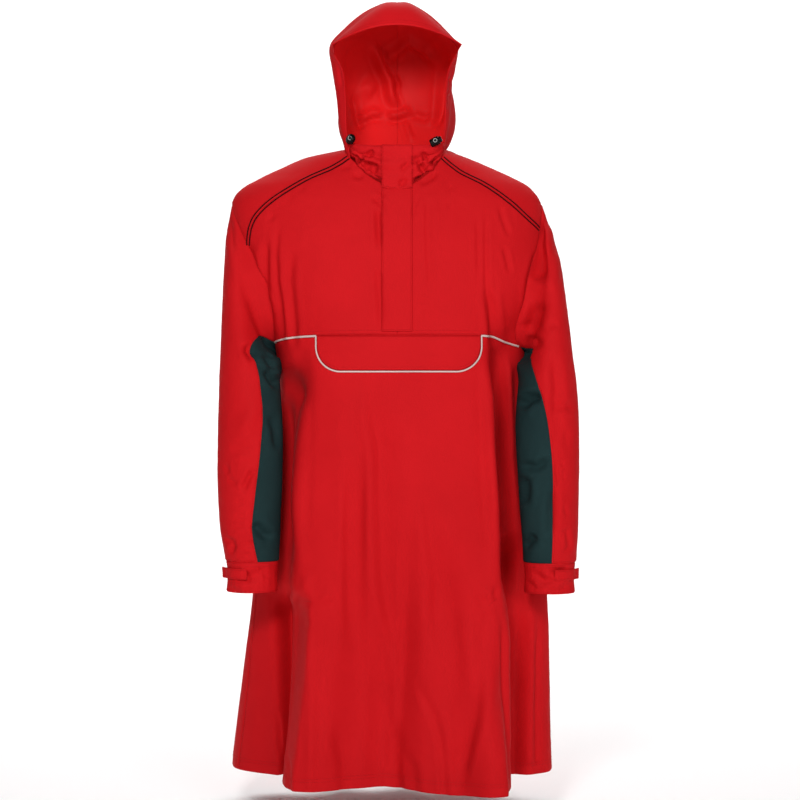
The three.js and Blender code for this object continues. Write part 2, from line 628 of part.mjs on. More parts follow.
// A piece that lies on the front: rows and columns of places in x and z
function layOn(name, places, clear, thick, material) {
  const grid = places.map((row) => row.map((p) => {
    const angle = angleAt(p.x, p.z);
    return { point: body(angle, p.z), normal: bodyNormal(angle, p.z) };
  }));
  const lift = (by) => grid.map((row) => row.map((g) => g.point.clone().addScaledVector(g.normal, by)));
  return wall(name, lift(clear + thick), lift(clear), material);
}

function makePlacket() {
  const places = count(10).map((t) => count(5).map((u) => ({
    x: mix(-PLACKET.half, PLACKET.half, u), z: mix(PLACKET.top, PLACKET.bottom, t),
  })));
  layOn('placket', places, LAY, DOUBLE, red());
}

// The flap's lower edge, with round corners
function flapBottom(x) {
  const inward = Math.min(x - FLAP.right, FLAP.left - x, FLAP.corner);
  const cut = FLAP.corner - Math.sqrt(Math.max(FLAP.corner ** 2 - (FLAP.corner - inward) ** 2, 0));
  return FLAP.bottom + cut;
}

function makePocketFlap() {
  const middle = (FLAP.right + FLAP.left) / 2;
  const half = (FLAP.left - FLAP.right) / 2;
  const places = count(3).map((t) => count(28).map((u) => {
    const x = middle + half * Math.sin((u * 2 - 1) * Math.PI / 2);
    return { x, z: mix(FLAP.top, flapBottom(x), t) };
  }));
  layOn('pocket_flap', places, LAY + 0.4, DOUBLE, red());
}

// A strip along a line of places, lying on the body
function stripOn(name, places, width, clear, thick, material) {
  const frames = places.map((p) => ({ point: body(p.angle, p.z), normal: bodyNormal(p.angle, p.z) }));
  const rings = frames.map(({ point, normal }, i) => {
    const before = frames[Math.max(i - 1, 0)].point;
    const after = frames[Math.min(i + 1, frames.length - 1)].point;
    const across = after.clone().sub(before).cross(normal).normalize();
    const corner = (side, lift) => point.clone()
      .addScaledVector(across, side * width / 2)
      .addScaledVector(normal, lift);
    return [corner(-1, clear + thick), corner(1, clear + thick), corner(1, clear), corner(-1, clear)];
  });
  const triangles = [];
  const quad = (a, b, c, d) => triangles.push([a, b, c], [a, c, d]);
  for (let i = 0; i < rings.length - 1; i += 1) {
    for (let k = 0; k < 4; k += 1) {
      quad(4 * i + k, 4 * i + (k + 1) % 4, 4 * i + 4 + (k + 1) % 4, 4 * i + 4 + k);
    }
  }
  const end = 4 * (rings.length - 1);
  triangles.push([2, 1, 0], [3, 2, 0], [end, end + 1, end + 2], [end, end + 2, end + 3]);
  return solid(name, rings.flat(), triangles, material);
}

function makeFlapPiping() {
  const places = [];
  const out = PIPING.width / 2 + SEAM * 2;
  const add = (x, z) => places.push({ angle: angleAt(x, z), z });
  const low = FLAP.bottom + FLAP.corner;
  for (const t of count(2)) add(FLAP.right - out, mix(FLAP.top - 4, low, t));
  for (const t of count(7).slice(1)) {
    const turn = t * Math.PI / 2;
    const reach = FLAP.corner + out;
    add(FLAP.right + FLAP.corner - reach * Math.cos(turn), low - reach * Math.sin(turn));
  }
  for (const t of count(12).slice(1)) {
    add(mix(FLAP.right + FLAP.corner, FLAP.left - FLAP.corner, t), FLAP.bottom - out);
  }
  for (const t of count(7).slice(1)) {
    const turn = t * Math.PI / 2;
    const reach = FLAP.corner + out;
    add(FLAP.left - FLAP.corner + reach * Math.sin(turn), low - reach * Math.cos(turn));
  }
  for (const t of count(2).slice(1)) add(FLAP.left + out, mix(low, FLAP.top - 4, t));
  stripOn('flap_piping', places, PIPING.width, LAY + 0.4, PIPING.thick, silver());
}

// Light piping along the chest seam, between the pocket flap and the armhole
function makeChestPiping(side) {
  const seam = chestSeam(side);
  const edge = side === 'right' ? FLAP.right : FLAP.left;
  const reach = Math.abs(edge) + PIPING.width * 2;
  const places = seam.filter((p) => Math.abs(body(p.angle, p.z).x) > reach).slice(0, -1);
  stripOn(`chest_piping_${side}`, places, PIPING.width, LAY, PIPING.thick, silver());
}

function makeYokeTape(side, which, seam, clear) {
  stripOn(`yoke_tape_${which}_${side}`, seam.slice(1, -1), TAPE.width, clear, TAPE.thick, dark());
}

// Cord locks: small barrels that rest on the collar at the lower corners of the face opening
function makeLock(side) {
  const { along: share, turn, stand } = LOCKS[side];
  const r = LOCK.radius;
  const h = LOCK.length / 2;
  const profile = [
    [0, -h], [r * 0.7, -h], [r * 0.92, -h + 2], [r, -h + 5], [r * 0.94, 0], [r, h - 5], [r * 0.92, h - 2],
    [r * 0.7, h], [0, h],
  ];
  const barrel = new THREE.LatheGeometry(profile.map(([x, y]) => new THREE.Vector2(x, y)), 16);
  barrel.deleteAttribute('normal');
  barrel.deleteAttribute('uv');
  const mesh = new THREE.Mesh(mergeVertices(barrel, 1e-4), black());
  mesh.name = `cord_lock_${side}`;
  mesh.position.copy(collarPoint(share, 1, SIDES[side].sign)).add(vec(0, -stand - 1, 4));
  mesh.rotation.z = rad(turn);
  group.add(mesh);
}

for (const side of ['right', 'left']) {
  makeChest(side);
  makeYoke(side);
  makeSleeve(side);
  makeCuff(side);
  makeTab(side);
  makeChestPiping(side);
  makeYokeTape(side, 'front', yokeFrontSeam(side), LAY);
  makeYokeTape(side, 'back', yokeBackSeam(side), LAY * 1.6);
  makeLock(side);
}
makeFrontSkirt();
makeBack();
makeHood();
makePeak();
makeCollar();
makeChinFlap();
makePlacket();
makePocketFlap();
makeFlapPiping();

export default group;
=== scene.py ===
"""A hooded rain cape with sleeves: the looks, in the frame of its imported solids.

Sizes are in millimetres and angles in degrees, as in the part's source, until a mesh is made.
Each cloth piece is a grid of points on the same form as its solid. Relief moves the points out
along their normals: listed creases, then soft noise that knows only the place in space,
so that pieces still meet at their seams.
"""
import math

import bpy
import numpy as np
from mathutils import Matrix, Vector


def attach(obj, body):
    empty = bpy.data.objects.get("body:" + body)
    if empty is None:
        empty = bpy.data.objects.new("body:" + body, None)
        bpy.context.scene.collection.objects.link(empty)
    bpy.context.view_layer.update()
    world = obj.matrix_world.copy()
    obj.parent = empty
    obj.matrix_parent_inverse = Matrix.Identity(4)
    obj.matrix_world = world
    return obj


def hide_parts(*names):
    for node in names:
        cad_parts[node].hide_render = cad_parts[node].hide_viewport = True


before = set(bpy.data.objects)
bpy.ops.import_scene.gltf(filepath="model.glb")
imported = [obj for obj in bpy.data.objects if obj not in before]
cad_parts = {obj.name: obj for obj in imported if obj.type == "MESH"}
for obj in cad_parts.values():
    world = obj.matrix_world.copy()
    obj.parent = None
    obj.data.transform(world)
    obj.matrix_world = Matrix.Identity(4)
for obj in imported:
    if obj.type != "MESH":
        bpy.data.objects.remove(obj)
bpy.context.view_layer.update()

MM = 0.001


def table(columns, *rows):
    """Rows with named columns."""
    names = columns.split()
    return [dict(zip(names, row)) for row in rows]


# Sizes that the solids share
HEM = -1066
THICK = 0.9                     # the cloth's own thickness
PLACKET = {"half": 26, "top": -60, "bottom": -305}
FLAP = {"right": -134, "left": 139, "top": -313, "bottom": -370, "corner": 40}
TAPE = {"cord": 1.8, "apart": 7.0}
CUFF_HEIGHT = 52
TAB = {"height": 18, "start": 82, "end": -8, "lift": 7, "thick": 2}
STEPS = {"neck_front": 5, "neck_yoke": 8, "neck_back": 26, "yoke_seam": 9, "chest": 7,
         "under": 3, "back": 6, "side": 13}

# Half widths to the wearer's right and left, depths to the front and back, and the power of
# the rounded oval, from the neck to the hem
BODY = table(
    "z right left front back power",
    (20, 62, 60, 54, 56, 2.0), (16, 85, 83, 65, 67, 2.0), (13, 108, 93, 68, 71, 2.0),
    (7, 140, 108, 71, 75, 2.0), (0, 166, 128, 74, 79, 2.05), (-17, 206, 170, 80, 86, 2.1),
    (-31, 236, 200, 85, 91, 2.15), (-51, 272, 232, 93, 98, 2.3), (-79, 289, 250, 102, 106, 2.5),
    (-150, 277, 256, 118, 116, 2.8), (-230, 248, 249, 128, 120, 2.8),
    (-338, 213, 222, 138, 124, 2.7), (-450, 226, 231, 149, 133, 2.6),
    (-600, 242, 250, 163, 147, 2.5), (-765, 257, 262, 182, 166, 2.4),
    (-900, 272, 267, 206, 186, 2.3), (-1066, 291, 271, 246, 212, 2.2),
)
FOLDS = table(
    "at hem half depth start full",
    (-8, -9, 40, 97, -560, -1066), (34, 36, 13, -28, -640, -1066), (68, 68, 19, 54, -215, -430),
    (64, 64, 30, 28, -700, -1066), (-72, -71, 25, 50, -318, -420), (-68, -65, 34, 40, -640, -1066),
    (-112, -112, 20, -23, -600, -1066), (-22, -27, 8, 8, -470, -620), (8, 4, 8, 9, -560, -760),
    (128, 124, 15, 34, -480, -1066), (160, 157, 17, 40, -420, -1066),
    (-164, -166, 16, 34, -520, -1066), (-140, -137, 14, 38, -560, -1066),
)
NECK = table(
    "angle z",
    (0, -58), (17, -50), (33, -32), (50, -4), (60, 9), (72, 15.2), (90, 15.8), (135, 13), (180, 9),
)
ARMHOLE = {"top": -74, "bottom": -338, "half": 18, "egg": 0.4}
SIDES = {
    "right": {"sign": -1, "yoke_front": 69, "yoke_back": 300, "chest": 151},
    "left": {"sign": 1, "yoke_front": 54, "yoke_back": 300, "chest": 158},
}
UNDER_BACK = 208
YOKE_START = 50
YOKE_END = 94
YOKE_FRONT = {
    "right": [(56, -21), (62, -37), (68, -69), (73, -107)],
    "left": [(55, -27), (62, -50), (68, -82), (73, -109)],
}
YOKE_BACK = [(102, -6), (108, -40), (109, -88)]
CHEST = {"middle": -311, "side": -314, "side_angle": 60}
SLEEVE_COLUMNS = "out_x out_z in_x in_z y depth front back"
SLEEVES = {
    "right": table(
        SLEEVE_COLUMNS,
        (-296, -118, -222, -342, -8, 79, 136, 222), (-300, -185, -217, -352, -26, 75, 122, 240),
        (-301, -260, -209, -368, -50, 69, 104, 250), (-302, -345, -200, -398, -74, 62, 112, 252),
        (-303, -430, -195, -446, -88, 57, 116, 252), (-304, -515, -195, -515, -94, 54, 111, 254),
        (-303, -585, -197, -585, -96, 51, 103, 254), (-300, -640, -199, -640, -97, 48, 98, 254),
        (-291, -692, -201, -692, -97, 43, 106, 252),
    ),
    "left": table(
        SLEEVE_COLUMNS,
        (262, -112, 233, -342, -8, 78, 156, 222), (281, -178, 228, -352, -26, 75, 152, 240),
        (292, -255, 219, -368, -50, 69, 140, 250), (301, -340, 208, -398, -74, 62, 118, 252),
        (309, -425, 203, -442, -88, 57, 99, 252), (310, -510, 203, -510, -94, 54, 88, 254),
        (308, -580, 207, -580, -96, 51, 86, 254), (307, -640, 211, -640, -97, 48, 88, 254),
        (303, -694, 214, -694, -97, 43, 89, 252),
    ),
}
ARCHES = table(
    "share top_y top_z shape",
    (0, -94, 256, "opening"), (0.16, -58, 263, "front"), (0.42, 22, 258, "crown"),
    (0.66, 96, 206, "crown"), (0.86, 106, 96, "crown"),
)
ARCH_SHAPES = {
    "opening": [(0, 1), (0.28, 0.995), (0.62, 0.925), (0.97, 0.83), (1.36, 0.71), (1.16, 0.56),
                (1.1, 0.38), (1.08, 0.19), (1, 0)],
    "front": [(0, 1), (0.34, 0.985), (0.68, 0.93), (1.0, 0.84), (1.32, 0.71), (1.26, 0.55),
              (1.18, 0.38), (1.13, 0.19), (1, 0)],
    "crown": [(0, 1), (0.4, 0.975), (0.76, 0.9), (1.04, 0.79), (1.2, 0.65), (1.2, 0.49),
              (1.15, 0.32), (1.09, 0.16), (1, 0)],
}
PEAK = {"corner": 110, "corner_y": -124, "corner_z": 180, "y": -150, "z": 207, "bulge": 9}
COLLAR = {"top_y": -99, "top_z": 12, "side_y": -70, "side_z": 22, "side_x": 80, "roll": 4.5,
          "rolls": 2.5, "reach": 0.985}

SEAM_TUCK = 2.8                 # how far the hood's foot and the sleeves' heads reach past their seams
ARMPIT = {"reach": 16, "z": -352, "half": 26}
# How finely each piece's columns and rows divide the steps above
FINE = {"chest": (7, 12), "yoke": (6, 6), "skirt": (8, 12), "back": (8, 6), "sleeve": (6, 20),
        "hood": (9, 12)}


def mix(a, b, t):
    return a + (b - a) * t


def smooth(t):
    t = np.clip(t, 0, 1)
    return t * t * (3 - 2 * t)


def unit(vectors):
    return vectors / np.maximum(np.linalg.norm(vectors, axis=-1, keepdims=True), 1e-9)


def along(rows, key, at, column):
    """A smooth curve through a table: the values of a column at the given keys."""
    rows = sorted(rows, key=lambda row: row[key])
    x = np.array([row[key] for row in rows], float)
    y = np.array([row[column] for row in rows], float)
    slope = np.gradient(y)
    slope[1:-1] = (y[2:] - y[:-2]) / (x[2:] - x[:-2])
    slope[0] = (y[1] - y[0]) / (x[1] - x[0])
    slope[-1] = (y[-1] - y[-2]) / (x[-1] - x[-2])
    i = np.clip(np.searchsorted(x, at, side="right") - 1, 0, len(x) - 2)
    span = x[i + 1] - x[i]
    t = (at - x[i]) / span
    start_pull = t * (1 - t) ** 2 * span * slope[i]
    end_pull = t * t * (1 - t) * span * slope[i + 1]
    return mix(y[i], y[i + 1], 3 * t ** 2 - 2 * t ** 3) + start_pull - end_pull


def spline(points, t):
    """Centripetal Catmull-Rom curve through points[0], points[1] and so on, at t from 0 to 1."""
    points = np.asarray(points, float)
    first = 2 * points[0] - points[1]
    last = 2 * points[-1] - points[-2]
    p = np.concatenate([first[None], points, last[None]])
    gap = np.sum((p[1:] - p[:-1]) ** 2, axis=-1, keepdims=True) ** 0.25
    gap = np.maximum(gap, 1e-3)
    at = np.asarray(t) * (len(points) - 1)
    i = np.minimum(np.floor(at).astype(int), len(points) - 2)
    w = (at - i).reshape((-1,) + (1,) * (points.ndim - 1))
    a, b, c, d = p[i], p[i + 1], p[i + 2], p[i + 3]
    g0, g1, g2 = gap[i], gap[i + 1], gap[i + 2]
    t1 = ((b - a) / g0 - (c - a) / (g0 + g1) + (c - b) / g1) * g1
    t2 = ((c - b) / g1 - (d - b) / (g1 + g2) + (d - c) / g2) * g1
    return b + w * t1 + w ** 2 * (3 * (c - b) - 2 * t1 - t2) + w ** 3 * (2 * (b - c) + t1 + t2)


# The body's form
def fold_depth(angle, z):
    depth = 0
    for fold in FOLDS:
        share = np.clip((fold["start"] - z) / (fold["start"] - HEM), 0, 1)
        at = mix(fold["at"], fold["hem"], share)
        away = np.minimum(abs((angle - at + 540) % 360 - 180) / fold["half"], 1)
        grown = smooth((fold["start"] - z) / (fold["start"] - fold["full"]))
        depth = depth + fold["depth"] * grown * np.cos(away * np.pi / 2) ** 2
    return depth


def body(angle, z):
    turned = (angle + 540) % 360 - 180
    across = np.sin(np.radians(turned))
    ahead = np.cos(np.radians(turned))
    half = np.where(across < 0, along(BODY, "z", z, "right"), along(BODY, "z", z, "left"))
    depth = np.where(ahead > 0, along(BODY, "z", z, "front"), along(BODY, "z", z, "back"))
    power = along(BODY, "z", z, "power")
    base = ((abs(across) / half) ** power + (abs(ahead) / depth) ** power) ** (-1 / power)
    radius = base - fold_depth(turned, z)
    return np.stack([radius * across, -radius * ahead, z + 0 * angle], axis=-1)


def body_normal(angle, z):
    round_way = body(angle + 0.3, z) - body(angle - 0.3, z)
    up_way = body(angle, z + 0.5) - body(angle, z - 0.5)
    return unit(np.cross(round_way, up_way))


HALVINGS = 30                   # steps of the search for an angle


def angle_at(x, z):
    """The angle on the front where the body is x from the middle."""
    low = np.full(np.shape(x + 0 * z), -85.0)
    high = -low
    for _ in range(HALVINGS):
        middle = (low + high) / 2
        left_of = body(middle, z)[..., 0] < x
        low = np.where(left_of, middle, low)
        high = np.where(left_of, high, middle)
    return low


# Relief: listed creases and soft noise
LATTICE = np.random.default_rng(7).uniform(-1, 1, (32, 32, 32))
TWIST = np.array([[0.36, 0.48, -0.8], [-0.8, 0.6, 0], [0.48, 0.64, 0.6]])


def noise(points, size):
    """Soft noise between -1 and 1 whose bumps are about size wide."""
    places = points @ TWIST.T / np.asarray(size)
    cell = np.floor(places).astype(int)
    t = smooth(places - cell)
    total = 0
    for corner in np.ndindex(2, 2, 2):
        weight = np.prod(np.where(corner, t, 1 - t), axis=-1)
        x, y, z = np.moveaxis((cell + corner) % 32, -1, 0)
        total = total + weight * LATTICE[x, y, z]
    return total


def rumple(points, amount=1.0):
    """The cloth's own unevenness: broad swells, sharper ridges and a fine grain."""
    broad = noise(points * (1, 1, 0.55), 70)
    ridge = 0.45 - abs(noise(points * (1, 1, 0.7) + 300, 46))
    small = 0.4 - abs(noise(points + 700, 17))
    return amount * (1.0 * broad + 0.9 * ridge + 0.28 * small)


def crease(places, row):
    """A soft trough along a path of (x, z), with low lips beside it; a ridge where its depth is negative.

    lean is how many times wider it is towards +X of a path that runs down.
    """
    path = np.array(row["path"], float)
    starts, ends = path[:-1], path[1:]
    spans = np.linalg.norm(ends - starts, axis=-1)
    run = np.concatenate([[0], np.cumsum(spans)])
    best = np.full(places.shape[:-1], 1e9)
    share = np.zeros(places.shape[:-1])
    side = np.zeros(places.shape[:-1])
    for k, (start, end) in enumerate(zip(starts, ends)):
        way = end - start
        t = np.clip((places - start) @ way / (way @ way), 0, 1)
        offset = places - start - t[..., None] * way
        away = np.linalg.norm(offset, axis=-1)
        nearer = away < best
        best = np.where(nearer, away, best)
        share = np.where(nearer, (run[k] + t * spans[k]) / run[-1], share)
        turn = (way[0] * offset[..., 1] - way[1] * offset[..., 0]) / (spans[k] * np.maximum(away, 1e-6))
        side = np.where(nearer, turn, side)
    width = row["half"] * mix(1, row["lean"], smooth(side * 0.5 + 0.5))
    s = best / width
    taper = 1.0
    if row["start"]:
        taper = taper * smooth(share / row["start"])
    if row["end"]:
        taper = taper * smooth((1 - share) / row["end"])
    shape = np.exp(-s ** 2) - LIP * np.exp(-((s - 1.9) / 0.8) ** 2)
    return -row["depth"] * taper * shape


LIP = 0.22                      # how high a crease's lips stand, as a share of its depth
CREASE_COLUMNS = "half depth lean start end path"
FRONT_CREASES = table(
    CREASE_COLUMNS,
    # chest, the wearer's right: along the armhole
    (6, 4.5, 0.8, 0.3, 0.2, [(-199, -114), (-203, -135), (-207, -176), (-205, -217), (-198, -257),
                             (-195, -293), (-193, -335)]),
    (7, 6.0, 1.0, 0.3, 0.3, [(-220, -140), (-224, -176), (-225, -217), (-218, -254)]),
    (7, 5.0, 1.0, 0.3, 0.2, [(-176, -156), (-179, -176), (-182, -217), (-178, -257), (-175, -293),
                             (-176, -341)]),
    (6, 6.0, 1.0, 0.3, 0.3, [(-255, -146), (-251, -176), (-238, -217), (-222, -257), (-210, -293)]),
    (5, 1.6, 1.0, 0.4, 0.4, [(-221, -118), (-209, -100)]),
    (5, 1.2, 1.0, 0.4, 0.4, [(-184, -85), (-182, -64)]),
    (5, 1.2, 1.0, 0.4, 0.4, [(-164, -70), (-161, -52)]),
    # beside the placket
    (5, 3.4, 1.0, 0.3, 0.3, [(-44, -74), (-32, -82), (-20, -98)]),
    (6, 6.0, 0.6, 0.3, 0.4, [(-34, -85), (-31, -103), (-30, -135), (-28, -173)]),
    (4, 1.6, 1.0, 0.4, 0.4, [(-35, -196), (-30, -218)]),
    (6, 3.4, 1.0, 0.3, 0.3, [(-30, -196), (-30, -233), (-27, -265), (-28, -306)]),
    (4, 3.0, 1.0, 0.4, 0.4, [(-27, -62), (-22, -80)]),
    # by the neck
    (5, 4.0, 1.0, 0.4, 0.4, [(-78, -35), (-66, -39), (-54, -38)]),
    (6, 3.2, 1.0, 0.4, 0.4, [(-98, -20), (-76, -22)]),
    (5, 4.2, 1.0, 0.3, 0.3, [(68, -26), (60, -40), (46, -48), (34, -50)]),
    (4, 1.6, 1.0, 0.4, 0.4, [(86, -68), (93, -50)]),
    (4, 1.2, 1.0, 0.4, 0.4, [(86, -78), (88, -96)]),
    # chest, the wearer's left
    (4, 2.2, 2.0, 0.15, 0.4, [(51, -71), (51, -135), (52, -176), (56, -217), (42, -260)]),
    (4, 1.5, 1.0, 0.3, 0.4, [(38, -68), (29, -93), (24, -118)]),
    (4, 0.9, 1.0, 0.4, 0.4, [(31, -250), (54, -256)]),
    (4.5, 3.0, 1.0, 0.3, 0.4, [(135, -103), (138, -135), (138, -176), (139, -228)]),
    (4.5, 3.5, 1.0, 0.3, 0.2, [(154, -95), (150, -135), (150, -176), (151, -217), (154, -260)]),
    (8, 9.0, 1.0, 0.3, 0.2, [(153, -225), (159, -257), (164, -293), (166, -335)]),
    (4.5, 3.0, 1.0, 0.3, 0.3, [(175, -85), (179, -108), (192, -146)]),
    (4.5, 3.0, 1.0, 0.3, 0.3, [(180, -156), (186, -176), (193, -208)]),
    (7, 7.0, 1.0, 0.3, 0.3, [(248, -151), (240, -176), (229, -217), (225, -257), (216, -293)]),
    # the long recess on the wearer's left: its near edge, its hollow and the ridge behind it
    (9, -6.0, 1.0, 0.25, 0.3, [(149, -336), (154, -395), (157, -453), (158, -503), (161, -586), (164, -685)]),
    (13, 14.0, 0.8, 0.2, 0.25, [(166, -311), (173, -361), (174, -395), (177, -453), (179, -503),
                                (186, -586), (191, -652), (187, -718), (190, -791)]),
    (6, -6.0, 1.0, 0.25, 0.3, [(185, -328), (191, -370), (194, -453), (195, -520), (201, -586), (207, -661)]),
    (5, 5.5, 0.8, 0.2, 0, [(174, -770), (175, -816), (174, -896), (177, -943), (179, -982), (181, -1014),
                           (183, -1066)]),
    (13, 13.0, 1.0, 0.25, 0, [(203, -751), (209, -816), (207, -848), (208, -896), (204, -943),
                              (205, -982), (202, -1014), (203, -1066)]),
    (8, -3.5, 1.0, 0.3, 0, [(230, -767), (230, -848), (229, -943), (226, -1040)]),
    (5, 4.0, 1.0, 0.3, 0, [(240, -783), (240, -848), (240, -943), (241, -1040)]),
    (4, 1.3, 1.0, 0.4, 0.4, [(196, -900), (226, -909)]),
    (4, 1.2, 1.0, 0.4, 0.4, [(194, -914), (224, -919)]),
    # skirt, the wearer's right: the hollow behind the sleeve, and the deep fold below the cuff
    (16, -12.0, 1.0, 0.3, 0.4, [(-191, -325), (-188, -370), (-186, -450)]),
    (12, 10.0, 1.0, 0.3, 0.3, [(-192, -395), (-187, -453), (-186, -503), (-187, -586), (-187, -652),
                               (-190, -735)]),
    (11, -8.0, 1.0, 0.3, 0.3, [(-164, -353), (-166, -395), (-167, -453), (-169, -503), (-171, -586),
                               (-172, -685)]),
    (8, -3.5, 1.0, 0.3, 0, [(-147, -783), (-145, -848), (-143, -912), (-143, -982), (-144, -1066)]),
    (5, 5.0, 1.0, 0.4, 0.2, [(-211, -946), (-204, -982), (-203, -1009), (-198, -1037)]),
    (4, 4.0, 1.0, 0.4, 0, [(-184, -1009), (-180, -1029), (-178, -1066)]),
    # soft folds down the front
    (9, 4.5, 3.0, 0.3, 0.3, [(-78, -487), (-80, -586), (-81, -652), (-79, -767), (-76, -816), (-66, -864)]),
    (9, 4.5, 2.0, 0.4, 0, [(-96, -951), (-98, -982), (-89, -1018), (-86, -1066)]),
    (11, 9.0, 2.5, 0.25, 0.3, [(-45, -370), (-37, -453), (-28, -503), (-27, -586), (-25, -652),
                               (-22, -718), (-15, -767), (-2, -816), (5, -848), (15, -896), (25, -931)]),
    (9, 7.5, 1.3, 0.4, 0, [(-8, -940), (-5, -982), (-5, -1014), (-3, -1066)]),
    (9, 4.5, 2.5, 0.3, 0.4, [(48, -562), (56, -652), (66, -718), (60, -767), (63, -816), (72, -872)]),
    (5, 4.0, 1.6, 0.4, 0, [(26, -867), (39, -912), (54, -943), (64, -982), (68, -1018), (70, -1066)]),
    (18, 8.5, 0.5, 0.3, 0.2, [(137, -726), (141, -767), (143, -816), (143, -848), (138, -896),
                              (128, -943), (114, -982), (104, -1014), (97, -1066)]),
    (7, 3.4, 1.0, 0.5, 0, [(11, -998), (24, -1029), (29, -1066)]),
    (52, 21.0, 0.7, 0.3, 0, [(78, -640), (88, -760), (94, -860), (96, -1066)]),
    # puckers at the two bar tacks
    (6, -3.0, 1.0, 0.3, 0.4, [(-192, -750), (-166, -768)]),
    (7, -3.0, 1.0, 0.3, 0.4, [(-108, -742), (-134, -758)]),
    (4, 4.0, 1.0, 0.4, 0.4, [(-170, -760), (-152, -757), (-133, -760)]),
    (8, -3.4, 1.0, 0.4, 0.3, [(-150, -706), (-152, -748)]),
    (5, 2.6, 1.0, 0.4, 0.4, [(-152, -782), (-150, -806)]),
    (6, 3.0, 1.0, 0.4, 0.4, [(128, -742), (149, -762)]),
    (4, 3.4, 1.0, 0.4, 0.4, [(166, -728), (158, -755)]),
    (5, -2.6, 1.0, 0.4, 0.4, [(150, -728), (153, -756)]),
    (5, 2.4, 1.0, 0.4, 0.4, [(147, -770), (152, -790)]),
)
# Hollows of the two big folds, between the angles outer and inner; full between rim and edge,
# with a share left at their low end
HOLLOWS = table(
    "outer outer_low rim edge inner depth top low fade left",
    (-85, -76, -69, -49, -42, 66, -735, -1066, 60, 0.55),
    (80, 79, 69, 58, 49, 58, -640, -800, 60, 0.1),
)
BACK_CREASES = table(
    CREASE_COLUMNS,
    (8, 3.0, 1.4, 0.3, 0.3, [(-60, -30), (-70, -120), (-78, -210)]),
    (7, 2.4, 0.7, 0.3, 0.4, [(64, -34), (80, -110), (84, -190)]),
    (10, 4.0, 1.0, 0.3, 0.4, [(-205, -130), (-180, -220), (-168, -330)]),
    (10, 4.0, 1.0, 0.3, 0.4, [(196, -140), (176, -230), (170, -340)]),
    (9, -2.6, 1.0, 0.4, 0.4, [(-150, -250), (-146, -360), (-152, -470)]),
    (9, -2.6, 1.0, 0.4, 0.4, [(146, -260), (140, -380), (146, -500)]),
    (15, -2.6, 1.2, 0.4, 0.4, [(20, -330), (16, -480), (24, -640)]),
    (13, 3.6, 0.6, 0.4, 0.3, [(58, -400), (52, -560), (46, -720)]),
    (12, 3.4, 0.7, 0.4, 0.3, [(-64, -420), (-60, -600), (-66, -770)]),
    (10, 4.4, 0.7, 0.5, 0, [(4, -930), (-2, -1000), (-4, -1066)]),
    (6, 2.4, 1.0, 0.3, 0.4, [(-30, -880), (-50, -940), (-74, -1000)]),
    (5, 2.0, 1.0, 0.3, 0.4, [(-12, -60), (-22, -74), (-38, -80)]),
    (5, 2.0, 1.0, 0.3, 0.4, [(16, -52), (30, -68), (48, -74)]),
)
